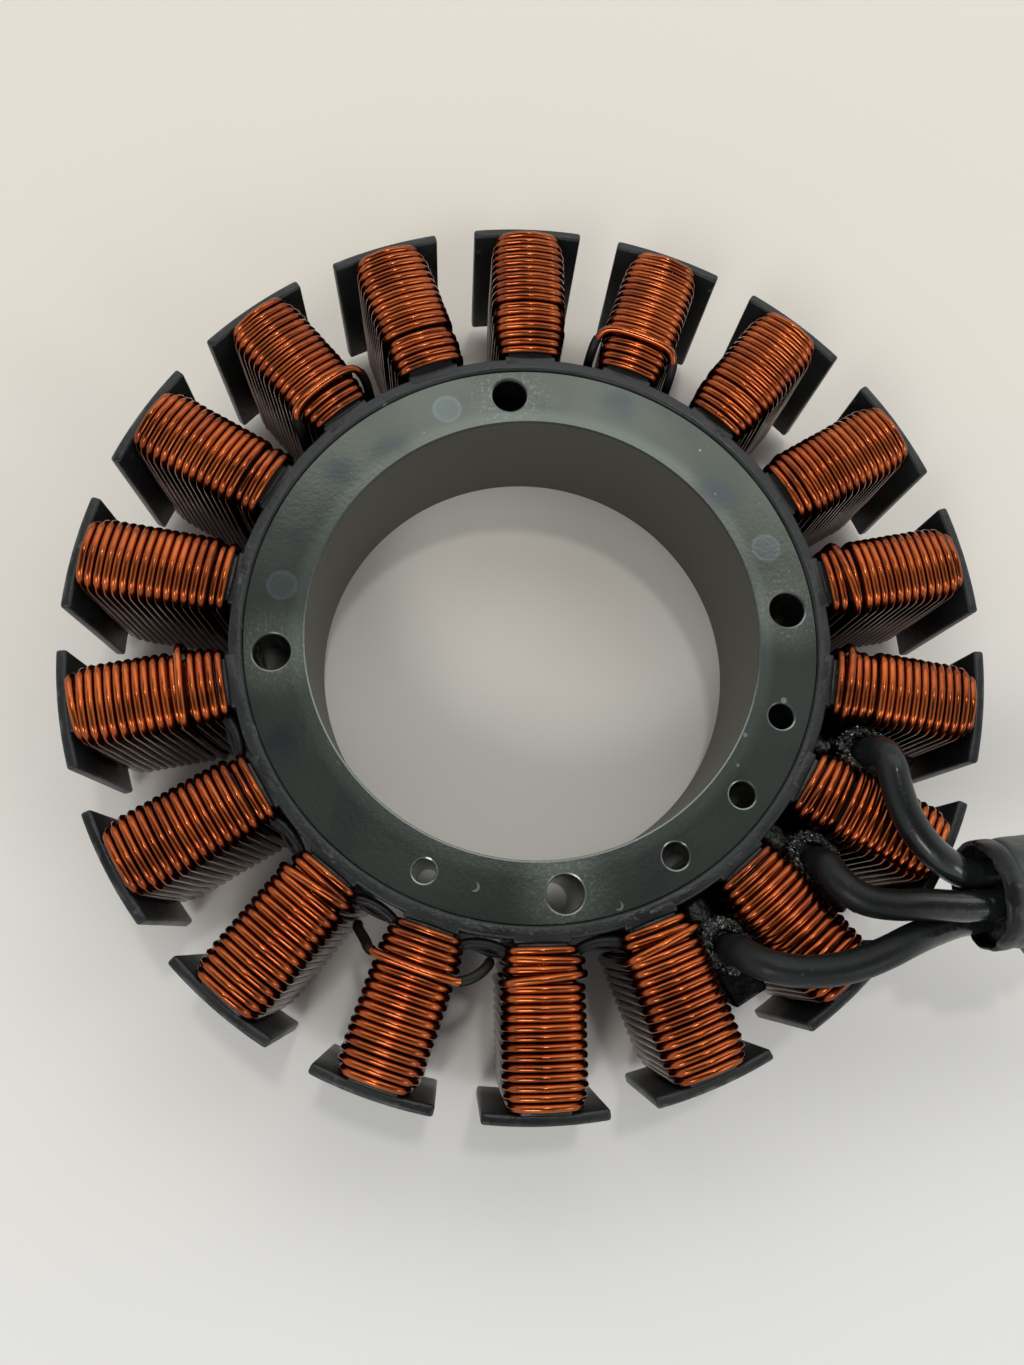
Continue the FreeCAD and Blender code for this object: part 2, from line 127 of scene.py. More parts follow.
def spinProfile(bm, axis, steps):
    bmesh.ops.spin(bm, geom=bm.verts[:] + bm.edges[:], cent=(0, 0, 0), axis=axis, angle=math.radians(360),
                   steps=steps, use_merge=True)
    bmesh.ops.remove_doubles(bm, verts=bm.verts, dist=1e-6)
    bmesh.ops.recalc_face_normals(bm, faces=bm.faces)


def roughen(verts, size, depth, seed=0.0):
    # moves each point a little, by a pattern of the given size
    for vert in verts:
        place = vert.co / (size * mm) + Vector((seed, 0, 0))
        vert.co += noise.noise_vector(place) * depth * mm


def curveFrom(name, radius, roundness=2):
    curve = bpy.data.curves.new(name, "CURVE")
    curve.dimensions = "3D"
    curve.bevel_depth = radius * mm
    curve.bevel_resolution = roundness
    curve.use_fill_caps = True
    return curve


def addRun(curve, points, kind="POLY"):
    spline = curve.splines.new(kind)
    spline.points.add(len(points) - 1)
    for place, point in zip(spline.points, points):
        place.co = (*point, 1.0)
    spline.use_smooth = True
    return spline


def addRoute(curve, points, resolution=12):
    spline = addRun(curve, points, "NURBS")
    spline.order_u = 3
    spline.use_endpoint_u = True
    spline.resolution_u = resolution


# Camera, at the photograph's angle
cameraValues = {
    "place": (-0.015345, -0.040330, 0.161031),
    "right": (0.99117, -0.10706, 0.07824),
    "up": (0.08558, 0.96716, 0.23932),
    "back": (-0.10130, -0.23051, 0.96778),
    "lens": 27.20,
    "sensor": 36.0,
    "shiftX": -0.0172,
    "shiftY": -0.0009,
    "clipStart": 0.01,
}
cameraData = bpy.data.cameras.new("camera")
cameraData.lens = cameraValues["lens"]
cameraData.sensor_width = cameraValues["sensor"]
cameraData.shift_x = cameraValues["shiftX"]
cameraData.shift_y = cameraValues["shiftY"]
cameraData.clip_start = cameraValues["clipStart"]
cameraObject = bpy.data.objects.new("camera", cameraData)
turnColumns = (cameraValues["right"], cameraValues["up"], cameraValues["back"])
cameraObject.matrix_world = Matrix.Translation(cameraValues["place"]) @ Matrix(turnColumns).transposed().to_4x4()
bpy.context.scene.collection.objects.link(cameraObject)
bpy.context.scene.camera = cameraObject
print("camera done")


# Node groups shared by the materials
def newGroup(name, inputs, outputs):
    group = bpy.data.node_groups.new(name, "ShaderNodeTree")
    for label, kind, value in inputs:
        socket = group.interface.new_socket(label, in_out="INPUT", socket_type=kind)
        if value is not None:
            socket.default_value = value
    for label, kind in outputs:
        group.interface.new_socket(label, in_out="OUTPUT", socket_type=kind)
    return group, group.nodes.new("NodeGroupInput"), group.nodes.new("NodeGroupOutput")


def makeMottle():
    inputs = (
        ("Vector", "NodeSocketVector", None), ("Scale", "NodeSocketFloat", 100.0), ("Detail", "NodeSocketFloat", 4.0),
        ("Low", "NodeSocketFloat", 0.4), ("High", "NodeSocketFloat", 0.6),
    )
    group, given, result = newGroup("mottle", inputs, (("Mask", "NodeSocketFloat"),))
    pattern = group.nodes.new("ShaderNodeTexNoise")
    spread = group.nodes.new("ShaderNodeMapRange")
    for label in ("Vector", "Scale", "Detail"):
        group.links.new(given.outputs[label], pattern.inputs[label])
    group.links.new(pattern.outputs["Fac"], spread.inputs["Value"])
    group.links.new(given.outputs["Low"], spread.inputs["From Min"])
    group.links.new(given.outputs["High"], spread.inputs["From Max"])
    group.links.new(spread.outputs["Result"], result.inputs["Mask"])
    return group


def makeRoundMark():
    inputs = (
        ("Vector", "NodeSocketVector", None), ("Centre", "NodeSocketVector", None),
        ("Inner", "NodeSocketFloat", 0.002), ("Outer", "NodeSocketFloat", 0.003),
    )
    group, given, result = newGroup("round mark", inputs, (("Mask", "NodeSocketFloat"),))
    away = group.nodes.new("ShaderNodeVectorMath")
    away.operation = "DISTANCE"
    fade = group.nodes.new("ShaderNodeMapRange")
    fade.interpolation_type = "SMOOTHSTEP"
    fade.inputs["To Min"].default_value = 1.0
    fade.inputs["To Max"].default_value = 0.0
    group.links.new(given.outputs["Vector"], away.inputs[0])
    group.links.new(given.outputs["Centre"], away.inputs[1])
    group.links.new(away.outputs["Value"], fade.inputs["Value"])
    group.links.new(given.outputs["Inner"], fade.inputs["From Min"])
    group.links.new(given.outputs["Outer"], fade.inputs["From Max"])
    group.links.new(fade.outputs["Result"], result.inputs["Mask"])
    return group


def makeAxisDistance():
    group, given, result = newGroup("distance from the bore's axis", (("Vector", "NodeSocketVector", None),),
                                    (("Distance", "NodeSocketFloat"),))
    flat = group.nodes.new("ShaderNodeVectorMath")
    flat.operation = "MULTIPLY"
    flat.inputs[1].default_value = (1.0, 1.0, 0.0)
    length = group.nodes.new("ShaderNodeVectorMath")
    length.operation = "LENGTH"
    group.links.new(given.outputs["Vector"], flat.inputs[0])
    group.links.new(flat.outputs["Vector"], length.inputs[0])
    group.links.new(length.outputs["Value"], result.inputs["Distance"])
    return group


mottle = makeMottle()
roundMark = makeRoundMark()
axisDistance = makeAxisDistance()


class Finish:
    # one material, its nodes and a short way to wire them
    def __init__(self, name, metallic=0.0, roughness=0.5, coat=0.0, coatRoughness=0.1, specular=0.5):
        self.material = bpy.data.materials.new(name)
        self.material.use_nodes = True
        self.nodes = self.material.node_tree.nodes
        self.links = self.material.node_tree.links
        self.shader = self.nodes["Principled BSDF"]
        self.shader.inputs["Metallic"].default_value = metallic
        self.shader.inputs["Roughness"].default_value = roughness
        self.shader.inputs["Coat Weight"].default_value = coat
        self.shader.inputs["Coat Roughness"].default_value = coatRoughness
        self.shader.inputs["Specular IOR Level"].default_value = specular
        self.place = self.nodes.new("ShaderNodeTexCoord").outputs["Object"]

    def useGroup(self, group, place, settings=()):
        node = self.nodes.new("ShaderNodeGroup")
        node.node_tree = group
        self.links.new(place, node.inputs["Vector"])
        for label, value in settings:
            node.inputs[label].default_value = value
        return node

    def mask(self, scale, low=0.35, high=0.65, detail=4.0):
        # a cloudy pattern between 0 and 1, sharper where low and high are close
        settings = (("Scale", scale), ("Detail", detail), ("Low", low), ("High", high))
        return self.useGroup(mottle, self.place, settings).outputs["Mask"]

    def mark(self, centre, radius, soft, flat=False):
        # a round patch, or a shaft right through if flat
        place = self.place
        if flat:
            onFace = self.nodes.new("ShaderNodeVectorMath")
            onFace.operation = "MULTIPLY"
            onFace.inputs[1].default_value = (1.0, 1.0, 0.0)
            self.links.new(self.place, onFace.inputs[0])
            place = onFace.outputs["Vector"]
        settings = (("Centre", centre), ("Inner", (radius - soft) * mm), ("Outer", (radius + soft) * mm))
        return self.useGroup(roundMark, place, settings).outputs["Mask"]

    def distance(self):
        return self.useGroup(axisDistance, self.place).outputs["Distance"]

    def along(self, axis):
        # the place along X, Y or Z, in metres
        node = self.nodes.new("ShaderNodeSeparateXYZ")
        self.links.new(self.place, node.inputs["Vector"])
        return node.outputs[axis]

    def blend(self, share, first, second):
        node = self.nodes.new("ShaderNodeMix")
        node.data_type = "RGBA"
        self.links.new(share, node.inputs["Factor"])
        for label, colour in (("A", first), ("B", second)):
            socket = [s for s in node.inputs if s.name == label and s.type == "RGBA"][0]
            if isinstance(colour, tuple):
                socket.default_value = (*colour, 1.0)
            else:
                self.links.new(colour, socket)
        return [s for s in node.outputs if s.type == "RGBA"][0]

    def level(self, value, low, high, start=0.0, end=1.0):
        # low where the value is at its start, high where it is at its end
        node = self.nodes.new("ShaderNodeMapRange")
        self.links.new(value, node.inputs["Value"])
        for label, amount in (("From Min", start), ("From Max", end), ("To Min", low), ("To Max", high)):
            node.inputs[label].default_value = amount
        return node.outputs["Result"]

    def fade(self, value, reach, low=0.0, high=1.0):
        # low at the near end of the reach, in millimetres, and high at the far one
        return self.level(value, low, high, *[end * mm for end in reach])

    def faint(self, pattern, share):
        # a cloudy pattern between 0 and the share
        return self.level(self.mask(*pattern), 0.0, share)

    def combine(self, operation, first, second):
        node = self.nodes.new("ShaderNodeMath")
        node.operation = operation
        node.use_clamp = operation == "SUBTRACT"
        self.links.new(first, node.inputs[0])
        self.links.new(second, node.inputs[1])
        return node.outputs["Value"]

    def highest(self, masks):
        top = masks[0]
        for mask in masks[1:]:
            top = self.combine("MAXIMUM", top, mask)
        return top

    def feed(self, label, socket):
        self.links.new(socket, self.shader.inputs[label])

    def colour(self, socket):
        self.feed("Base Color", socket)

    def grain(self, scale, depth, detail=4.0):
        self.bump(self.mask(scale, 0.3, 0.7, detail), depth)

    def bump(self, height, distance):
        node = self.nodes.new("ShaderNodeBump")
        node.inputs["Distance"].default_value = distance * mm
        self.links.new(height, node.inputs["Height"])
        self.links.new(node.outputs["Normal"], self.shader.inputs["Normal"])


# Enamelled copper, with painted shade down the coils' sides, and flecks of varnish, most of them near the ring
enamelValues = {
    "bright": (0.40, 0.093, 0.019), "deep": (0.20, 0.039, 0.0075), "toneScale": 140.0, "smooth": 0.17, "dull": 0.25,
    # side is painted shade down the coils' sides, between its reaches in height at the top and the foot
    "side": (0.085, 0.019, 0.006), "sideShadeTop": (20.5, 24.2), "sideShadeFoot": (-2.8, 0.5),
    "varnish": (0.07, 0.014, 0.005), "flecks": (420.0, 0.62, 0.74), "fleckShare": 0.35,
    "splashes": (260.0, 0.50, 0.64), "splashShare": 0.7, "splashReach": (44.0, 49.0),
}


def enamelFinish():
    values = enamelValues
    finish = Finish("enamelled copper", metallic=1.0, coat=0.22, coatRoughness=0.05)
    tone = finish.mask(values["toneScale"])
    base = finish.blend(tone, values["deep"], values["bright"])
    height = finish.along("Z")
    # painted shade: between the top and the foot, the coils' sides are blended to the dark side colour
    underTop = finish.fade(height, values["sideShadeTop"], 1.0, 0.0)
    overFoot = finish.fade(height, values["sideShadeFoot"])
    base = finish.blend(finish.combine("MULTIPLY", underTop, overFoot), base, values["side"])
    fleck = finish.faint(values["flecks"], values["fleckShare"])
    nearRing = finish.fade(finish.distance(), values["splashReach"], values["splashShare"], 0.0)
    splash = finish.combine("MULTIPLY", nearRing, finish.mask(*values["splashes"]))
    finish.colour(finish.blend(finish.combine("MAXIMUM", fleck, splash), base, values["varnish"]))
    finish.feed("Roughness", finish.level(tone, values["smooth"], values["dull"]))
    return finish.material


# Black coat, scuffed all over and worn along the shoes' outer edges
coatValues = {
    "dark": (0.008, 0.010, 0.010), "light": (0.016, 0.0185, 0.0185), "toneScale": 90.0, "smooth": 0.30, "dull": 0.46,
    "bare": (0.13, 0.14, 0.135), "scuffs": (420.0, 0.67, 0.74, 8.0), "scuffShare": 0.45,
    "wear": (330.0, 0.50, 0.62, 6.0), "wearShare": 0.55, "wearOnSides": 0.12,
    "edge": (64.3, 64.95), "top": (21.6, 22.5), "grain": (1300.0, 0.035),
}


def coatFinish():
    values = coatValues
    finish = Finish("powder coat", specular=0.35)
    tone = finish.mask(values["toneScale"])
    scuff = finish.faint(values["scuffs"], values["scuffShare"])
    base = finish.blend(tone, values["dark"], values["light"])
    atEdge = finish.fade(finish.distance(), values["edge"])
    onTop = finish.fade(finish.along("Z"), values["top"], values["wearOnSides"])
    worn = finish.combine("MULTIPLY", finish.combine("MULTIPLY", atEdge, onTop), finish.mask(*values["wear"]))
    scuff = finish.combine("MAXIMUM", scuff, finish.level(worn, 0.0, values["wearShare"]))
    finish.colour(finish.blend(scuff, base, values["bare"]))
    finish.feed("Roughness", finish.level(tone, values["smooth"], values["dull"]))
    finish.grain(*values["grain"])
    return finish.material


# Ring: ground clamp faces and bore, with the holes as (degrees, radius)
ringValues = {
    "bore": 31.95, "edge": 40.4, "height": 22.6, "segments": 192, "holeSegments": 40, "break": 0.3, "edgeBreak": 0.14,
    "boltCircle": 36.5,
    "holes": ((0, 2.55), (90, 2.55), (180, 2.55), (270, 2.55), (-25, 1.8), (-45, 1.8), (-65, 1.8), (-120, 1.55)),
}
# Its steel: marks as (x, y) or (x, y, radius) on the front face, patterns as (scale, low, high, detail)
steelValues = {
    "dark": (0.078, 0.090, 0.076), "light": (0.102, 0.118, 0.103), "tones": (48.0, 0.38, 0.64),
    "stain": (0.070, 0.081, 0.080), "stains": (75.0, 0.53, 0.66, 3.0), "stainShare": 0.75,
    "band": (0.135, 0.160, 0.142), "bandReach": (33.2, 34.6), "bandShare": 0.7,
    "ghost": (0.16, 0.20, 0.215), "ghosts": ((-9.45, 34.87), (-34.62, 9.49), (34.92, 9.60)), "ghostRadius": 2.15,
    "ghostRim": 0.45, "ghostHollow": 0.45, "ghostShare": 0.55,
    "smear": (0.066, 0.079, 0.083), "smearPattern": (130.0, 0.36, 0.62),
    "smears": ((-18.8, 30.5, 3.0), (-31.6, 19.0, 3.4), (-25.6, 26.2, 2.0), (29.5, 19.2, 3.2), (16.4, 33.9, 2.6),
               (-35.8, -12.0, 2.8)),
    # fresh is the colour of bared metal, and of the painted highlights on the holes' rims and the dents
    "freshMetalAndHighlight": (0.36, 0.38, 0.36), "screwHoles": 4, "rubbed": 5.2, "rubbedSoft": 3.2,
    "grains": (1900.0, 0.52, 0.68, 3.0), "grainShare": 0.26, "specks": (1100.0, 0.70, 0.76, 6.0), "speckShare": 0.35,
    "scratches": ((27.5, -17.6, 0.30), (25.8, -21.7, 0.22), (33.8, -13.2, 0.42), (27.4, 25.7, 0.14)),
    # rimHighlightWidth and its pattern make a painted highlight round each hole's rim
    "rimHighlightWidth": 0.26, "rimHighlightPattern": (260.0, 0.4, 0.6), "rimHighlightShare": 0.35,
    # dings are dents drawn as painted highlight: a bright crescent, with an offset disc of the base colour as their
    # painted shade
    "dentHighlights": ((-11.81, -34.37), (6.90, -38.81)), "dentHighlightRadius": 0.62, "dentShadeOffset": (-0.22, 0.16, 0.56),
    "wall": (0.110, 0.104, 0.088), "wallRoughness": 0.55,
    # shaft is painted shade on the walls of the holes, below holeShadeTop in height
    "holeShade": (0.016, 0.018, 0.015), "holeShadeTop": (22.1, 22.35),
    "smooth": 0.18, "dull": 0.28, "grain": (1700.0, 0.006, 6.0),
}


def groundSteelFinish():
    values, ring = steelValues, ringValues
    finish = Finish("ground steel", metallic=0.8)

    def faceMark(x, y, radius, soft):
        return finish.mark((x * mm, y * mm, ring["height"] * mm), radius, soft)

    base = finish.blend(finish.mask(*values["tones"]), values["dark"], values["light"])
    base = finish.blend(finish.faint(values["stains"], values["stainShare"]), base, values["stain"])
    fromAxis = finish.distance()
    band = finish.fade(fromAxis, values["bandReach"], values["bandShare"], 0.0)
    base = finish.blend(band, base, values["band"])
    ghosts = []
    for x, y in values["ghosts"]:
        disc = faceMark(x, y, values["ghostRadius"], soft=0.15)
        inside = faceMark(x, y, values["ghostRadius"] - values["ghostRim"], soft=0.3)
        ghosts.append(finish.combine("SUBTRACT", disc, finish.level(inside, 0.0, values["ghostHollow"])))
    base = finish.blend(finish.level(finish.highest(ghosts), 0.0, values["ghostShare"]), base, values["ghost"])
    smeared = finish.highest([faceMark(x, y, radius, soft=0.8 * radius) for x, y, radius in values["smears"]])
    smeared = finish.combine("MULTIPLY", smeared, finish.mask(*values["smearPattern"]))
    base = finish.blend(smeared, base, values["smear"])

    # what is rubbed or scratched down to fresh metal, and the painted highlights on the holes' rims and on the dents
    screws = [polar(ring["boltCircle"], degrees, ring["height"]) for degrees, _ in ring["holes"][:values["screwHoles"]]]
    rubbed = finish.highest([finish.mark(screw, values["rubbed"], values["rubbedSoft"]) for screw in screws])
    grains = finish.combine("MULTIPLY", rubbed, finish.mask(*values["grains"]))
    bright = [finish.level(grains, 0.0, values["grainShare"]), finish.faint(values["specks"], values["speckShare"])]
    bright += [faceMark(x, y, radius, soft=0.08) for x, y, radius in values["scratches"]]
    # painted highlight: a thin, broken bright ring round the rim of each hole
    for degrees, radius in ring["holes"]:
        place = polar(ring["boltCircle"], degrees, ring["height"])
        rimHighlight = finish.mark(place, radius + values["rimHighlightWidth"], soft=0.05)
        rimHighlight = finish.combine("MULTIPLY", rimHighlight, finish.mask(*values["rimHighlightPattern"]))
        bright.append(finish.level(rimHighlight, 0.0, values["rimHighlightShare"]))
    # painted highlight and shade of each dent: its disc in the bright colour, less an offset disc left as shade
    shadeX, shadeY, shadeRadius = values["dentShadeOffset"]
    for x, y in values["dentHighlights"]:
        dentHighlight = faceMark(x, y, values["dentHighlightRadius"], soft=0.06)
        bright.append(finish.combine("SUBTRACT", dentHighlight, faceMark(x + shadeX, y + shadeY, shadeRadius, soft=0.06)))
    base = finish.blend(finish.highest(bright), base, values["freshMetalAndHighlight"])

    inBore = finish.fade(fromAxis, (ring["bore"] + 0.03, ring["bore"] + 0.07), 1.0, 0.0)
    base = finish.blend(inBore, base, values["wall"])
    # painted shade: the holes' walls are darkened below the face, standing in for the shadow inside them
    holeShades = [finish.mark(polar(ring["boltCircle"], degrees), radius + 0.03, soft=0.02, flat=True)
              for degrees, radius in ring["holes"]]
    below = finish.fade(finish.along("Z"), values["holeShadeTop"], 1.0, 0.0)
    inHoleShade = finish.combine("MULTIPLY", finish.highest(holeShades), below)
    finish.colour(finish.blend(inHoleShade, base, values["holeShade"]))
    onFaces = finish.level(rubbed, values["smooth"], values["dull"])
    finish.feed("Roughness", finish.combine("MAXIMUM", onFaces, finish.level(inBore, 0.0, values["wallRoughness"])))
    finish.grain(*values["grain"])
    return finish.material


# The plainer ones are cloudy in two tones, smoother where darker
plainValues = {"toneScale": 160.0, "smoother": 0.06, "duller": 0.08}


def plainFinish(name, dark, light, roughness, grain, metallic=0.0, specular=0.5):
    values = plainValues
    finish = Finish(name, metallic=metallic, specular=specular)
    tone = finish.mask(values["toneScale"])
    finish.colour(finish.blend(tone, dark, light))
    finish.feed("Roughness", finish.level(tone, roughness - values["smoother"], roughness + values["duller"]))
    finish.grain(*grain)
    return finish.material


# Smooth sleeving on the leads, creased and shinier where the boot was shrunk over it
sleeveValues = {
    "dark": (0.004, 0.005, 0.0048), "light": (0.010, 0.012, 0.0115), "toneScale": 120.0,
    "dust": (0.16, 0.16, 0.15), "dustPattern": (1500.0, 0.69, 0.76, 5.0), "dustShare": 0.3,
    "nearBoot": (43.0, 54.0), "dull": 0.38, "smooth": 0.26,
    "grain": (1800.0, 0.3, 0.7), "grainShare": 0.12, "creases": (520.0, 0.35, 0.7, 5.0), "depth": 0.16,
}


def leadFinish():
    values = sleeveValues
    finish = Finish("lead sleeve", coatRoughness=0.11, specular=0.2)
    dust = finish.faint(values["dustPattern"], values["dustShare"])
    base = finish.blend(finish.mask(values["toneScale"]), values["dark"], values["light"])
    finish.colour(finish.blend(dust, base, values["dust"]))
    nearBoot = finish.fade(finish.along("X"), values["nearBoot"])
    finish.feed("Roughness", finish.level(nearBoot, values["dull"], values["smooth"]))
    finish.feed("Coat Weight", nearBoot)
    grain = finish.faint(values["grain"], values["grainShare"])
    creases = finish.combine("MULTIPLY", nearBoot, finish.mask(*values["creases"]))
    finish.bump(finish.combine("ADD", grain, creases), values["depth"])
    return finish.material


# Scuffed rubber, black at the lip
rubberValues = {
    "dark": (0.043, 0.052, 0.050), "light": (0.086, 0.101, 0.096), "toneScale": 110.0, "smooth": 0.28, "dull": 0.46,
    "lip": (0.004, 0.0043, 0.004), "lipReach": (56.6, 58.6),
    "scuff": (0.15, 0.16, 0.16), "scuffs": (520.0, 0.64, 0.74, 7.0), "scuffShare": 0.35, "grain": (700.0, 0.06, 6.0),
}


def bootFinish():
    values = rubberValues
    finish = Finish("boot rubber", specular=0.22)
    tone = finish.mask(values["toneScale"])
    base = finish.blend(tone, values["dark"], values["light"])
    lip = finish.fade(finish.along("X"), values["lipReach"], 1.0, 0.0)
    base = finish.blend(lip, base, values["lip"])
    scuff = finish.faint(values["scuffs"], values["scuffShare"])
    finish.colour(finish.blend(scuff, base, values["scuff"]))
    finish.feed("Roughness", finish.level(tone, values["smooth"], values["dull"]))
    finish.grain(*values["grain"])
    return finish.material


enamel = enamelFinish()
coat = coatFinish()
groundSteel = groundSteelFinish()
leadSleeve = leadFinish()
bootRubber = bootFinish()
# dark and light tone, roughness, then the grain's scale and depth
epoxy = plainFinish("potting", (0.002, 0.002, 0.002), (0.006, 0.006, 0.006), 0.28, (700.0, 0.08), specular=0.2)
grit = plainFinish("potting grains", (0.005, 0.005, 0.005), (0.045, 0.045, 0.043), 0.12, (1600.0, 0.06), specular=0.9)
blackSleeving = plainFinish("varnished sleeving", (0.003, 0.003, 0.003), (0.008, 0.008, 0.008), 0.4, (1100.0, 0.06),
                            specular=0.25)
plugMoulding = plainFinish("plug moulding", (0.02, 0.02, 0.02), (0.035, 0.035, 0.035), 0.45, (2500.0, 0.01))
contactMetal = plainFinish("contact metal", (0.6, 0.45, 0.2), (0.7, 0.56, 0.28), 0.3, (2500.0, 0.005), metallic=1.0)
print("materials done")


# Coils: both layers of each winding, as wire
coilValues = {
    "wire": 1.15, "pitch": 1.19, "firstTurn": 62.55, "turns": 17, "corner": 2.5, "cornerSteps": 5,
    "crown": 0.32, "crownStops": (-0.72, -0.44, -0.15, 0.15, 0.44, 0.72), "sideBulge": 0.12,
    "wander": 0.035, "narrowing": (0.55, 0.2), "footGrowth": 1.5, "innerLevel": 1.02, "lowTurn": 1.6, "seed": 41,
}
# How far out each turn lies, in layers, from the shoe inwards
turnLevels = {"w": 2.15, "2": 2.0, "v": 1.85, "m": 1.65, "n": 1.4, "l": 1.2, "-": 0.0}
coilPlans = {
    1: "2222222222m2vvmnl", 2: "222222222222-mmnl", 3: "222222222222mvmnl", 4: "222222222222222mn",
    5: "m222222222222nwmn", 6: "m22222222222nmmwm", 7: "v22222222222lvvmn", 8: "v2222222222222mmn",
    9: "22222222222222wmn", 10: "2222222222222wmmn", 11: "v22222222222-2vml", 12: "22222222222222wmn",
    13: "222222222222222nm", 14: "22222222222mwvvmn", 15: "222222222222222nm", 16: "22222222222222nvv",
    17: "2222222222222-mnl", 18: "222222222222nvvmm",
}
# Single turns that lie aslant (clockwise end outwards), bulge to one side or lie out of line, in millimetres
oddTurns = {
    (1, 12): {"slant": 0.25}, (4, 14): {"slant": 0.35}, (5, 14): {"slant": 1.5}, (6, 15): {"left": 0.3, "slant": -0.3},
    (7, 15): {"slant": -0.8, "right": 0.3}, (7, 16): {"slant": -0.4}, (8, 4): {"slant": 0.35}, (8, 5): {"slant": -0.3},
    (9, 14): {"slant": 1.2, "left": 0.5}, (9, 15): {"slant": -0.4}, (10, 13): {"slant": 1.1, "left": 0.2},
    (10, 15): {"left": 0.5, "slant": -0.4}, (12, 14): {"slant": 1.4, "shift": -0.2}, (12, 15): {"slant": -0.3},
    (14, 0): {"slant": 0.9}, (14, 12): {"right": 0.8, "slant": -0.5, "shift": 0.35}, (16, 15): {"slant": 0.4},
    (17, 0): {"slant": 0.45},
}


def sectionPoints(level, left, right):
    # one turn seen along the pole, from the foot of the left side over the top to the foot of the right one
    values = coilValues
    grow = (level - 0.5) * values["wire"]
    half = poles["toothWidth"] / 2 + grow
    top, foot = poles["top"] + grow, poles["bottom"] - min(grow, values["footGrowth"] * values["wire"])
    corner = values["corner"] * min(1.0, level / 2)
    crown = values["crown"]
    middle = (top + foot) / 2
    leftX, rightX = -half - left, half + right
    steps = values["cornerSteps"]
    points = []
    corners = ((leftX + corner, foot + corner, 270), (leftX + corner, top - crown - corner, 180),
               (rightX - corner, top - crown - corner, 90), (rightX - corner, foot + corner, 0))
    for index, (x, z, start) in enumerate(corners):
        if index == 1:
            points.append((leftX - values["sideBulge"], middle))
        if index == 2:
            centre, flatHalf = (leftX + rightX) / 2, (rightX - leftX) / 2 - corner
            points += [(centre + share * flatHalf, top - crown * share ** 2) for share in values["crownStops"]]
        if index == 3:
            points.append((rightX + values["sideBulge"], middle))
        for step in range(steps + 1):
            angle = math.radians(start - 90.0 * step / steps)
            points.append((x + corner * math.cos(angle), z + corner * math.sin(angle)))
    return points


def windingRuns(number, plan, chance):
    values = coilValues
    runs = [[]]
    for turn in range(values["turns"]):
        level = turnLevels[plan[turn]]
        if level == 0.0:
            runs.append([])
            continue
        odd = oddTurns.get((number, turn), {})
        shifts = [chance.uniform(-values["wander"], values["wander"]) for _ in range(4)]
        x = values["firstTurn"] - turn * values["pitch"] + odd.get("shift", 0.0) + shifts[0]
        narrow = values["narrowing"][turn] if turn < len(values["narrowing"]) else 0.0
        left = odd.get("left", 0.0) + shifts[1] - narrow
        right = odd.get("right", 0.0) + shifts[2] - narrow
        slant = odd.get("slant", 0.0) + 2 * shifts[3]
        half = poles["toothWidth"] / 2 + level * values["wire"]
        for across, height in sectionPoints(level, left, right):
            along = x + slant / 2 * max(-1.0, min(1.0, across / half))
            runs[-1].append(polePoint(number, along, across, height))
    return [run for run in runs if run]


def innerRuns(number, plan):
    # the layer below lies in the valleys of the outer one, and ends where the turns above lie low
    values = coilValues
    runs = [[]]
    for turn in range(values["turns"] - 1):
        near, far = turnLevels[plan[turn]], turnLevels[plan[turn + 1]]
        if 0.0 < min(near, far) < values["lowTurn"]:
            runs.append([])
            continue
        x = values["firstTurn"] - (turn + 0.5) * values["pitch"]
        for across, height in sectionPoints(values["innerLevel"], 0.0, 0.0):
            runs[-1].append(polePoint(number, x, across, height))
    return [run for run in runs if run]


def makeCoil(number):
    chance = random.Random(coilValues["seed"] + number)
    plan = coilPlans[number]
    outer = curveFrom("coil_wire_%02d" % number, coilValues["wire"] / 2)
    for run in windingRuns(number, plan, chance):
        addRun(outer, run)
    addPiece(outer.name, outer, enamel, ("coil_%02d" % number,))
    inner = curveFrom("coil_inner_%02d" % number, coilValues["wire"] / 2, roundness=1)
    for run in innerRuns(number, plan):
        addRun(inner, run)
    addPiece(inner.name, inner, enamel)


for number in range(1, poles["count"] + 1):
    makeCoil(number)
print("coils done")


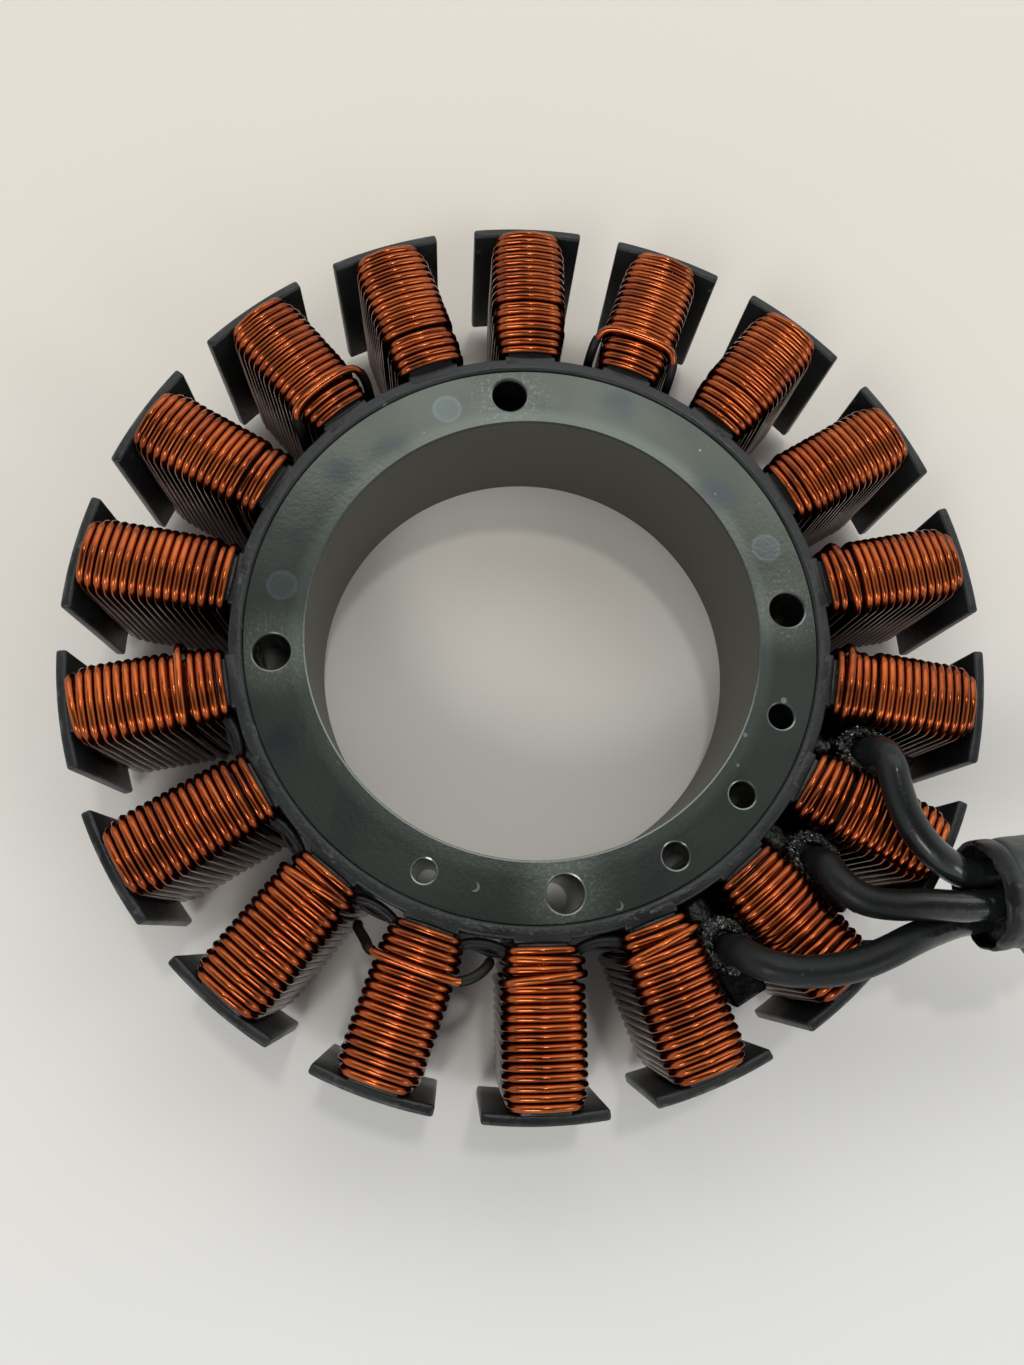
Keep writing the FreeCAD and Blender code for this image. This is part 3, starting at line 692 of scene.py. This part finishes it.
# Wires that cross a coil and join it to its neighbours: copper on top, sleeved on both legs.
# A leg's sleeving starts past the first number, across the pole, and below the second, in height.
crossingValues = {
    "sleeve": 0.70,
    "legs": {2: (5.0, 23.3), 11: (5.9, 30.0), 17: (5.0, 23.3)},
    "routes": {
        2: ((2, 44.0, -6.35, 8.0), (2, 44.0, -6.35, 16.0), (2, 44.6, -6.35, 21.0), (2, 46.6, -6.2, 23.3),
            (2, 48.1, -5.0, 24.7), (2, 48.4, 0.0, 24.8), (2, 48.1, 4.8, 24.7), (2, 46.9, 6.05, 23.5),
            (2, 45.0, 6.3, 21.4), (2, 44.1, 6.35, 16.0), (2, 44.1, 6.35, 8.0)),
        11: ((10, 45.0, 6.75, 16.0), (10, 45.0, 6.75, 21.2), (10, 46.3, 8.2, 23.2), (11, 47.9, -6.5, 23.8),
             (11, 48.25, -4.6, 24.75), (11, 48.3, 0.0, 24.8), (11, 48.2, 4.9, 24.7), (11, 47.9, 6.5, 23.7),
             (11, 47.2, 7.2, 21.5), (12, 46.2, -6.75, 19.0), (12, 46.2, -6.75, 15.05)),
        17: ((17, 44.4, -6.3, 10.0), (17, 44.6, -6.3, 18.0), (17, 45.7, -6.2, 22.4), (17, 47.0, -5.1, 24.6),
             (17, 47.45, 0.0, 24.8), (17, 47.1, 4.9, 24.7), (17, 46.1, 6.15, 23.1), (17, 45.0, 6.3, 19.5),
             (17, 44.8, 6.3, 10.0)),
    },
}


def readRoute(points, resolution):
    # the places along a smooth line through the points
    curve = bpy.data.curves.new("guide", "CURVE")
    curve.dimensions = "3D"
    addRoute(curve, points, resolution)
    guide = bpy.data.objects.new("guide", curve)
    mesh = bpy.data.meshes.new_from_object(guide)
    places = [vert.co.copy() for vert in mesh.vertices]
    bpy.data.objects.remove(guide)
    bpy.data.curves.remove(curve)
    bpy.data.meshes.remove(mesh)
    return places


def acrossPole(number, place):
    angle = math.radians(poleDegrees(number))
    return (place.x * math.sin(angle) - place.y * math.cos(angle)) / mm


def makeCrossing(number):
    values = crossingValues
    route = [polePoint(*stop) for stop in values["routes"][number]]
    copper = curveFrom("crossing_wire_%02d" % number, coilValues["wire"] / 2, roundness=3)
    addRoute(copper, route, resolution=16)
    addPiece(copper.name, copper, enamel, ("crossover_%02d" % number,))
    sleeving = curveFrom("crossing_sleeve_%02d" % number, values["sleeve"], roundness=3)
    past, below = values["legs"][number]
    low = [place for place in readRoute(route, resolution=16) if place.z < below * mm]
    for side in (-1, 1):
        addRun(sleeving, [place for place in low if side * acrossPole(number, place) > past])
    addPiece(sleeving.name, sleeving, blackSleeving, ("crossover_sleeves_%02d" % number,))


for number in crossingValues["routes"]:
    makeCrossing(number)


# Short sleeved wires in the slot roots at the lower left, a thick and a thin one to a slot
jumperValues = {
    "radius": 0.75, "thin": 0.38, "reach": 43.65, "beside": 4.75, "height": 21.2, "middle": 43.2, "rise": 0.3,
    "thickBends": ((0.15, 2.2), (0.0, -1.8)), "thinBends": ((1.3, 2.5), (0.9, -2.5)), "farDrop": 0.6,
}
# The thin wire's bend outwards and its height over the thick one
jumperBends = {9: (0.35, -1.2), 10: (0.3, -0.8), 11: (-0.25, -1.6), 12: (0.4, -1.0), 13: (-0.3, -1.4)}


def makeJumper(number):
    values = jumperValues
    slotDegrees = poleDegrees(number) - poles["step"] / 2
    bend, drop = jumperBends[number]
    start = polePoint(number, values["reach"], values["beside"], values["height"])
    end = polePoint(number + 1, values["reach"], -values["beside"], values["height"])
    height = values["height"] + values["rise"]
    (nearOut, nearTurn), (farOut, farTurn) = values["thickBends"]
    thick = curveFrom("root_wire_%02d" % number, values["radius"], roundness=3)
    addRoute(thick, (start, polar(values["middle"] + nearOut, slotDegrees + nearTurn, height),
                     polar(values["middle"] + farOut, slotDegrees + farTurn, height), end))
    addPiece(thick.name, thick, blackSleeving, ("root_jumper_%02d_%02d" % (number, number + 1),))
    (nearOut, nearTurn), (farOut, farTurn) = values["thinBends"]
    farDrop = values["farDrop"] * drop
    thin = curveFrom(thick.name + "_thin", values["thin"])
    addRoute(thin, (start + Vector((0, 0, drop * mm)),
                    polar(values["middle"] + nearOut + bend, slotDegrees + nearTurn, height + drop),
                    polar(values["middle"] + farOut - bend, slotDegrees + farTurn, height + farDrop),
                    end + Vector((0, 0, farDrop * mm))))
    addPiece(thin.name, thin, blackSleeving)


for number in jumperBends:
    makeJumper(number)


# Loom round the back of the ring
loomValues = {
    "radius": 1.02, "height": -2.77, "corner": 41.99, "leg": 44.82, "legTop": 3.23, "first": 75.0, "steps": 15,
    "tuck": 4.0,
}


def makeLoom():
    values = loomValues
    first, last = values["first"], values["first"] - values["steps"] * poles["step"]
    along = [first - values["tuck"]] + [first - step * poles["step"] for step in range(1, values["steps"])]
    along.append(last + values["tuck"])
    stops = [(values["leg"], first, values["legTop"]), (values["leg"], first, values["height"])]
    stops += [(values["corner"], degrees, values["height"]) for degrees in along]
    stops += [(values["leg"], last, values["height"]), (values["leg"], last, values["legTop"])]
    curve = curveFrom("back_sleeving", values["radius"], roundness=3)
    addRoute(curve, [polar(*stop) for stop in stops])
    addPiece(curve.name, curve, blackSleeving, ("back_loom",))


makeLoom()
print("wires done")


# Ring, filled between its circles and raised; every rim but the outermost is chamfered wider
def makeRing():
    values = ringValues
    bm = bmesh.new()
    for radius in (values["bore"], values["edge"]):
        addCircle(bm, values["segments"], radius)
    for degrees, radius in values["holes"]:
        addCircle(bm, values["holeSegments"], radius, polar(values["boltCircle"], degrees))
    bmesh.ops.triangle_fill(bm, use_beauty=True, edges=bm.edges[:])
    raiseFaces(bm, values["height"])
    rims, outside = [], []
    for edge in sharpEdges(bm):
        if abs(edge.verts[0].co.z - edge.verts[1].co.z) < 1e-7:
            (rims if edge.verts[0].co.xy.length < (values["edge"] - 0.1) * mm else outside).append(edge)
    breakEdges(bm, rims, values["break"])
    outside = [edge for edge in outside if edge.is_valid]
    breakEdges(bm, outside, values["edgeBreak"], segments=1)
    # the flat face keeps its own sharp edge, or the chamfers bend its reflections
    addPiece("ground_ring", meshFrom("ground_ring", bm, sharpAngle=12.0), groundSteel, ("stator_core",))


makeRing()

# Coated stack: the rim of the ring, the teeth with a tab at their root, and their shoes
stackValues = {
    "rimInner": 40.4, "rimOuter": 42.3, "rimTop": 23.05, "rimBottom": -1.7, "rimBreak": 0.42, "rimSegments": 288,
    "shoeInner": 63.5, "shoeOuter": 65.0, "shoeDegrees": 7.36, "shoeBreak": 0.42, "arcSteps": 6,
    "toothOverlap": (0.8, 0.3), "toothBreak": 0.3, "tabHalf": 3.8, "tabReach": 42.7, "tabOverlap": 0.6,
    "coatSize": 3.5, "coatDepth": 0.10,
}


def makeShoe(number):
    values = stackValues
    bm = bmesh.new()
    start = bm.verts.new(polar(values["shoeInner"], -values["shoeDegrees"], poles["bottom"]))
    bmesh.ops.spin(bm, geom=[start], cent=(0, 0, 0), axis=(0, 0, 1), angle=math.radians(2 * values["shoeDegrees"]),
                   steps=2 * values["arcSteps"])
    edges = bmesh.ops.extrude_edge_only(bm, edges=bm.edges[:])["geom"]
    outer = [item for item in edges if isinstance(item, bmesh.types.BMVert)]
    share = values["shoeOuter"] / values["shoeInner"]
    bmesh.ops.scale(bm, verts=outer, vec=(share, share, 1.0))
    raiseFaces(bm, poles["top"] - poles["bottom"])
    breakEdges(bm, sharpEdges(bm), values["shoeBreak"], segments=3)
    turnBy(bm, poleDegrees(number))
    addPiece("shoe_%02d" % number, meshFrom("shoe", bm, sharpAngle=50.0), coat)


def makeTooth(number):
    values = stackValues
    bm = bmesh.new()
    intoRim, intoShoe = values["toothOverlap"]
    blocks = (
        (values["rimOuter"] - intoRim, values["shoeInner"] + intoShoe, poles["toothWidth"] / 2, poles["bottom"],
         poles["top"]),
        (values["rimInner"] + values["tabOverlap"], values["tabReach"], values["tabHalf"], values["rimBottom"],
         values["rimTop"]),
    )
    for inner, outer, half, low, high in blocks:
        size = Vector((outer - inner, 2 * half, high - low)) * mm
        place = Vector(((outer + inner) / 2, 0, (high + low) / 2)) * mm
        bmesh.ops.create_cube(bm, size=1.0, matrix=Matrix.Translation(place) @ Matrix.Diagonal((*size, 1.0)))
    breakEdges(bm, bm.edges[:], values["toothBreak"])
    turnBy(bm, poleDegrees(number))
    addPiece("tooth_%02d" % number, meshFrom("tooth", bm, sharpAngle=50.0), coat)


def makeRim():
    values = stackValues
    bm = bmesh.new()
    corners = drawProfile(bm, ((values["rimInner"], values["rimBottom"]), (values["rimOuter"], values["rimBottom"]),
                               (values["rimOuter"], values["rimTop"]), (values["rimInner"], values["rimTop"])))
    breakCorners(bm, corners, values["rimBreak"], segments=4)
    spinProfile(bm, (0, 0, 1), values["rimSegments"])
    inside = (values["rimInner"] + 0.1) * mm
    roughen([vert for vert in bm.verts if vert.co.xy.length > inside], values["coatSize"], values["coatDepth"])
    addPiece("coated_rim", meshFrom("coated_rim", bm, sharpAngle=60.0), coat)


makeRim()
for number in range(1, poles["count"] + 1):
    makeShoe(number)
    makeTooth(number)
print("core done")


# Leads: the same routes as the solids, as one smooth line each
leadValues = {
    "radius": 2.1,
    "routes": (
        ((45.303, -21.125, 12.0), (45.303, -21.125, 23.95), (45.5, -23.4, 27.45), (45.4, -27.8, 27.65),
         (46.2, -31.7, 27.55), (48.0, -35.4, 27.45), (50.7, -38.3, 27.15), (54.0, -39.9, 25.48), (58.2, -39.9, 25.48)),
        ((35.346, -35.346, 12.0), (35.346, -35.346, 23.05), (35.7, -38.6, 25.85), (38.1, -41.3, 26.25),
         (42.2, -42.6, 26.45), (47.0, -42.9, 26.85), (53.0, -44.0, 26.91), (58.2, -44.0, 26.91)),
        ((21.336, -45.756, 12.0), (21.336, -45.756, 23.25), (23.3, -47.9, 27.05), (27.3, -49.3, 27.55),
         (31.5, -49.8, 27.65), (35.8, -49.5, 27.55), (40.2, -48.4, 27.35), (44.2, -47.3, 25.75), (48.6, -46.4, 23.65),
         (53.4, -45.5, 22.71), (58.2, -45.5, 22.71)),
    ),
}
for index, route in enumerate(leadValues["routes"]):
    curve = curveFrom("lead_sleeve_%d" % (index + 1), leadValues["radius"], roundness=8)
    addRoute(curve, [Vector(point) * mm for point in route], resolution=16)
    addPiece(curve.name, curve, leadSleeve, ("lead_%d" % (index + 1),))
print("leads done")


# Potting in the lead slots, with a ragged collar of grains where the lead comes out
pottingValues = {
    "slots": (-25.0, -45.0, -65.0), "low": 3.0, "high": 16.5, "root": 42.35, "rootHalf": 1.47, "wide": 49.3,
    "half": 2.7, "end": 58.5, "underCut": 1.6, "break": 0.55,
    "mound": 2.95, "moundHeights": (4.0, 10.0, 15.0, 20.2), "moundRim": 0.6, "hollow": (2.15, 19.4),
    "moundLumps": (1.6, 0.2), "moundSegments": 36,
}
collarValues = {
    "radius": 2.62, "thickness": 0.5, "sides": 14, "segments": 64, "stretch": 1.22, "height": 20.35, "inwards": 0.35,
    "lumps": (0.7, 0.55), "fineLumps": (0.35, 0.22), "grains": 190, "grainOut": 0.1, "grainSize": (0.13, 0.30),
    "grainShape": (1.0, 0.75, 1.3), "grainArc": (-25, 205), "seed": 7,
}


def leadFoot(index, height):
    x, y, _ = leadValues["routes"][index][0]
    return Vector((x, y, height)) * mm


def makePotting(index):
    values = pottingValues
    bm = bmesh.new()
    half, rootHalf = values["half"], values["rootHalf"]
    outline = ((values["root"], -rootHalf), (values["wide"], -half), (values["end"], -half), (values["end"], half),
               (values["wide"], half), (values["root"], rootHalf))
    raiseOutline(bm, outline, values["low"], values["high"] - values["low"])
    for vert in bm.verts:
        if vert.co.x > (values["end"] - 0.1) * mm and vert.co.z < (values["low"] + 0.1) * mm:
            vert.co.x -= values["underCut"] * mm
    breakEdges(bm, bm.edges[:], values["break"], segments=3)
    turnBy(bm, values["slots"][index])
    mound = bmesh.new()
    radius, top = values["mound"], values["moundHeights"][-1]
    hollowRadius, hollow = values["hollow"]
    outline = [(0.0, values["moundHeights"][0])] + [(radius, height) for height in values["moundHeights"]]
    outline += [(radius - values["moundRim"], top), (hollowRadius, hollow), (0.0, hollow)]
    drawProfile(mound, outline, False)
    spinProfile(mound, (0, 0, 1), values["moundSegments"])
    roughen(mound.verts, *values["moundLumps"], index)
    bmesh.ops.translate(mound, verts=mound.verts, vec=leadFoot(index, 0.0))
    bm.from_mesh(meshFrom("mound", mound))
    replaced = "lead_seal_%d" % (index + 1)
    addPiece("potting_%d" % (index + 1), meshFrom("potting", bm, sharpAngle=50.0), epoxy, (replaced,))


def makeCollar(index):
    values = collarValues
    chance = random.Random(values["seed"] + index)
    slotDegrees = pottingValues["slots"][index]
    place = Matrix.Translation((values["radius"] * mm, 0, 0)) @ Matrix.Rotation(math.radians(90), 4, "X")
    bm = bmesh.new()
    bmesh.ops.create_circle(bm, segments=values["sides"], radius=values["thickness"] * mm, matrix=place)
    spinProfile(bm, (0, 0, 1), values["segments"])
    roughen(bm.verts, *values["lumps"], 3.0 * index)
    roughen(bm.verts, *values["fineLumps"], 5.0 * index)
    lift = values["thickness"] + values["grainOut"]
    for _ in range(values["grains"]):
        around, over = chance.uniform(0, 2 * math.pi), math.radians(chance.uniform(*values["grainArc"]))
        out = values["radius"] + lift * math.cos(over)
        place = Vector((out * math.cos(around), out * math.sin(around), lift * math.sin(over))) * mm
        turn = Matrix.Rotation(chance.uniform(0, 6.28), 4,
                               Vector((chance.random(), chance.random(), chance.random() + 0.1)))
        size = chance.uniform(*values["grainSize"]) * mm
        shape = Matrix.Translation(place) @ turn @ Matrix.Diagonal((*values["grainShape"], 1.0))
        bmesh.ops.create_icosphere(bm, subdivisions=1, radius=size, matrix=shape)
    bmesh.ops.scale(bm, verts=bm.verts, vec=(values["stretch"], 1.0, 1.0))
    turnBy(bm, slotDegrees)
    inwards = polar(values["inwards"], slotDegrees)
    bmesh.ops.translate(bm, verts=bm.verts, vec=leadFoot(index, values["height"]) - inwards)
    addPiece("collar_%d" % (index + 1), meshFrom("collar", bm, sharpAngle=25.0), grit)


for index in range(len(pottingValues["slots"])):
    makePotting(index)
    makeCollar(index)
print("potting done")


# Boot on the plug, open at the leads' end, with its key
bootValues = {
    "start": 55.2, "y": -42.6, "z": 24.6, "radius": 7.35, "wall": 0.75, "length": 17.0, "depth": 3.0, "body": 6.25,
    "crease": 3.1, "creaseDepth": 0.35, "ringStep": 0.7, "segments": 108,
    "lipTears": ((62.0, 0.5), (-58.0, 0.6), (118.0, 0.3), (-110.0, 0.3)), "tearWidth": 9.0, "tearReach": 1.6,
    "ragged": 2.2, "lipLumps": (1.1, 0.16), "lipWaves": (1.3, 0.18), "dents": (2.4, 0.10),
    "keyStart": 4.2, "keyLength": 11.0, "keyHeight": 2.0, "keyFoot": 1.0, "keyWidth": 2.6, "keySlant": 1.6,
    "keyBreak": 0.4,
}


def bootOutline():
    # points (along, out), from the far end inside, round the lip and back outside
    values = bootValues
    r, length, depth, body = (values[key] for key in ("radius", "length", "depth", "body"))
    inner, crease = r - values["wall"], values["crease"]
    outline = [(length, body), (depth, body), (depth, inner), (1.5, inner), (0.25, inner + 0.05),
               (0.0, r - values["wall"] / 2), (0.25, r - 0.08), (0.8, r), (1.6, r), (2.3, r - 0.03),
               (crease - 0.3, r - 0.12), (crease, r - values["creaseDepth"]), (crease + 0.35, r - 0.10)]
    along = crease + 1.0
    while along < length - 0.6:
        outline.append((along, r))
        along += values["ringStep"]
    return outline + [(length - 0.25, r), (length, r - 0.25)]


def makeBoot():
    values = bootValues
    bm = bmesh.new()
    drawProfile(bm, bootOutline())
    spinProfile(bm, (1, 0, 0), values["segments"])
    (lumpSize, lumpDepth), (dentSize, dentDepth) = values["lipLumps"], values["dents"]
    waveSize, waveDepth = values["lipWaves"]
    for vert in bm.verts:
        x, out = vert.co.x / mm, vert.co.yz.length / mm
        around = math.degrees(math.atan2(vert.co.y, vert.co.z))
        ragged = max(0.0, 1.0 - x / values["ragged"])
        if x < values["tearReach"]:
            for degrees, reach in values["lipTears"]:
                vert.co.x -= reach * ragged * math.exp(-((around - degrees) / values["tearWidth"]) ** 2) * mm
        push = noise.noise(vert.co / (lumpSize * mm)) * lumpDepth * ragged
        push += noise.noise(vert.co / (dentSize * mm)) * dentDepth
        if out > values["radius"] - 0.5:
            vert.co.yz *= 1.0 + push / out
            wave = noise.noise(vert.co / (waveSize * mm) + Vector((7, 0, 0)))
            vert.co.x += wave * waveDepth * ragged * mm
    bmesh.ops.translate(bm, verts=bm.verts, vec=Vector((values["start"], values["y"], values["z"])) * mm)
    addPiece("boot_sleeve", meshFrom("boot_sleeve", bm, sharpAngle=60.0), bootRubber, ("plug_boot",))


def makeKey():
    values = bootValues
    bm = bmesh.new()
    start = values["start"] + values["keyStart"]
    end = start + values["keyLength"]
    foot = values["y"] - values["radius"] + values["keyFoot"]
    top = values["y"] - values["radius"] - values["keyHeight"]
    outline = ((start, foot), (start + values["keySlant"], top), (end, top), (end, foot))
    raiseOutline(bm, outline, values["z"] - values["keyWidth"] / 2, values["keyWidth"])
    breakEdges(bm, bm.edges[:], values["keyBreak"], segments=3)
    addPiece("boot_key", meshFrom("boot_key", bm, sharpAngle=50.0), bootRubber)


makeBoot()
makeKey()

# Moulded plug with its contacts, inside the boot and beyond it
plugValues = {
    "shank": 6.2, "shankStart": 3.0, "flange": 7.9, "flangeStart": 17.05, "flangeWidth": 2.0, "nose": 6.6,
    "noseLength": 14.0, "segments": 72, "well": 1.7, "wellDepth": 11.0, "pin": 1.2, "pinLength": 9.0,
    "pinSegments": 28, "pinCircle": 3.4, "pins": (90, 210, 330), "break": 0.35,
}
toPlug = Matrix.Translation(Vector((bootValues["start"], bootValues["y"], bootValues["z"])) * mm)
# the nose and the contacts are drawn standing up, then laid along the plug
lay = Matrix(((0, 0, 1), (1, 0, 0), (0, 1, 0))).to_4x4()
flangeEnd = plugValues["flangeStart"] + plugValues["flangeWidth"]


def makeNose():
    values = plugValues
    nose = bmesh.new()
    addCircle(nose, values["segments"], values["nose"])
    for degrees in values["pins"]:
        addCircle(nose, values["pinSegments"], values["well"], polar(values["pinCircle"], degrees))
    bmesh.ops.triangle_fill(nose, use_beauty=True, edges=nose.edges[:])
    raiseFaces(nose, values["noseLength"])
    rims = [edge for edge in sharpEdges(nose)
            if min(vert.co.z for vert in edge.verts) > values["noseLength"] * 0.9 * mm]
    breakEdges(nose, rims, values["break"], segments=3)
    for degrees in values["pins"]:
        wellFloor = polar(values["pinCircle"], degrees, values["noseLength"] - values["wellDepth"])
        addCircle(nose, values["pinSegments"], values["well"], wellFloor, filled=True)
    nose.transform(Matrix.Translation((flangeEnd * mm, 0, 0)) @ lay)
    return meshFrom("nose", nose)


def makePlug():
    values = plugValues
    bm = bmesh.new()
    outline = ((values["shankStart"], 0.0), (values["shankStart"], values["shank"]),
               (values["flangeStart"], values["shank"]), (values["flangeStart"], values["flange"]),
               (flangeEnd, values["flange"]), (flangeEnd, 0.0))
    corners = drawProfile(bm, outline, False)
    breakCorners(bm, corners[3:5], values["break"])
    spinProfile(bm, (1, 0, 0), values["segments"])
    bm.from_mesh(makeNose())
    bm.transform(toPlug)
    addPiece("plug_insert", meshFrom("plug_insert", bm), plugMoulding, ("plug_body",))


def makeContact(index):
    values = plugValues
    pin = bmesh.new()
    bmesh.ops.create_cone(pin, cap_ends=True, segments=values["pinSegments"], radius1=values["pin"] * mm,
                          radius2=values["pin"] * mm, depth=values["pinLength"] * mm)
    breakEdges(pin, sharpEdges(pin), values["break"], segments=3)
    out = polar(values["pinCircle"], values["pins"][index])
    along = flangeEnd + values["noseLength"] - values["wellDepth"] + values["pinLength"] / 2
    pin.transform(toPlug @ Matrix.Translation((along * mm, out.x, out.y)) @ lay)
    name = "contact_pin_%d" % (index + 1)
    addPiece(name, meshFrom(name, pin), contactMetal, ("plug_contact_%d" % (index + 1),))


makePlug()
for index in range(len(plugValues["pins"])):
    makeContact(index)
print("plug done")

# The glue in the boot's mouth keeps its shape from the frame
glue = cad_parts["mouth_glue"]
glue.data.materials.clear()
glue.data.materials.append(epoxy)


# Floor, a little warmer and darker away from the camera
floorValues = {
    "z": -4.05, "size": 3000.0, "near": (0.77, 0.765, 0.74), "far": (0.77, 0.715, 0.63), "slope": (-90.0, 90.0),
    "cloud": (0.68, 0.665, 0.63), "clouds": (9.0, 0.3, 0.7), "cloudShare": 0.25,
}


def makeFloor():
    values = floorValues
    bm = bmesh.new()
    bmesh.ops.create_grid(bm, x_segments=2, y_segments=2, size=values["size"] / 2 * mm,
                          matrix=Matrix.Translation((0, 0, values["z"] * mm)))
    mesh = bpy.data.meshes.new("floor")
    bm.to_mesh(mesh)
    bm.free()
    finish = Finish("table", roughness=0.6, specular=0.2)
    slope = finish.fade(finish.along("Y"), values["slope"])
    clouds = finish.faint(values["clouds"], values["cloudShare"])
    finish.colour(finish.blend(clouds, finish.blend(slope, values["near"], values["far"]), values["cloud"]))
    mesh.materials.append(finish.material)
    floor = bpy.data.objects.new("floor", mesh)
    bpy.context.scene.collection.objects.link(floor)


# Soft lamps, sizes in metres and powers in watts
lampValues = {
    "window": {"place": (0.12, 0.51, 0.68), "aim": (0, 0, 0), "size": (1.25, 0.42), "power": 2.3,
               "colour": (1.0, 0.97, 0.93)},
    "side lamp": {"place": (-0.34, -0.56, 0.70), "aim": (0, -0.05, 0), "size": (0.26, 0.26), "power": 1.9,
                  "colour": (1.0, 0.98, 0.95)},
    "right lamp": {"place": (0.52, -0.50, 0.50), "aim": (0.03, -0.03, 0), "size": (0.24, 0.24), "power": 0.75,
                   "colour": (0.97, 0.99, 1.0)},
    "ceiling lamp": {"place": (0.14, 0.36, 1.45), "aim": (0, 0, 0), "size": (0.09, 0.09), "power": 2.6,
                     "colour": (1.0, 0.98, 0.95)},
}


def addLamp(name, place, aim, size, power, colour):
    data = bpy.data.lights.new(name, "AREA")
    data.shape = "RECTANGLE"
    data.size, data.size_y = size
    data.energy = power
    data.color = colour
    lamp = bpy.data.objects.new(name, data)
    direction = Vector(aim) - Vector(place)
    lamp.matrix_world = Matrix.Translation(place) @ direction.to_track_quat("-Z", "Y").to_matrix().to_4x4()
    bpy.context.scene.collection.objects.link(lamp)


# Room light, which fades out straight above
roomValues = {"fade": (0.58, 0.97), "levels": (0.90, 0.035), "colour": (0.96, 0.98, 1.0)}


def makeRoom():
    world = bpy.data.worlds.new("room")
    world.use_nodes = True
    nodes, links = world.node_tree.nodes, world.node_tree.links
    direction = nodes.new("ShaderNodeTexCoord")
    parts = nodes.new("ShaderNodeSeparateXYZ")
    shade = nodes.new("ShaderNodeMapRange")
    links.new(direction.outputs["Generated"], parts.inputs["Vector"])
    links.new(parts.outputs["Z"], shade.inputs["Value"])
    for label, amount in zip(("From Min", "From Max", "To Min", "To Max"), roomValues["fade"] + roomValues["levels"]):
        shade.inputs[label].default_value = amount
    links.new(shade.outputs["Result"], nodes["Background"].inputs["Strength"])
    nodes["Background"].inputs["Color"].default_value = (*roomValues["colour"], 1.0)
    return world


makeFloor()
for name, values in lampValues.items():
    addLamp(name, **values)
bpy.context.scene.world = makeRoom()
bpy.context.scene.view_settings.view_transform = "Standard"
print("stage done")
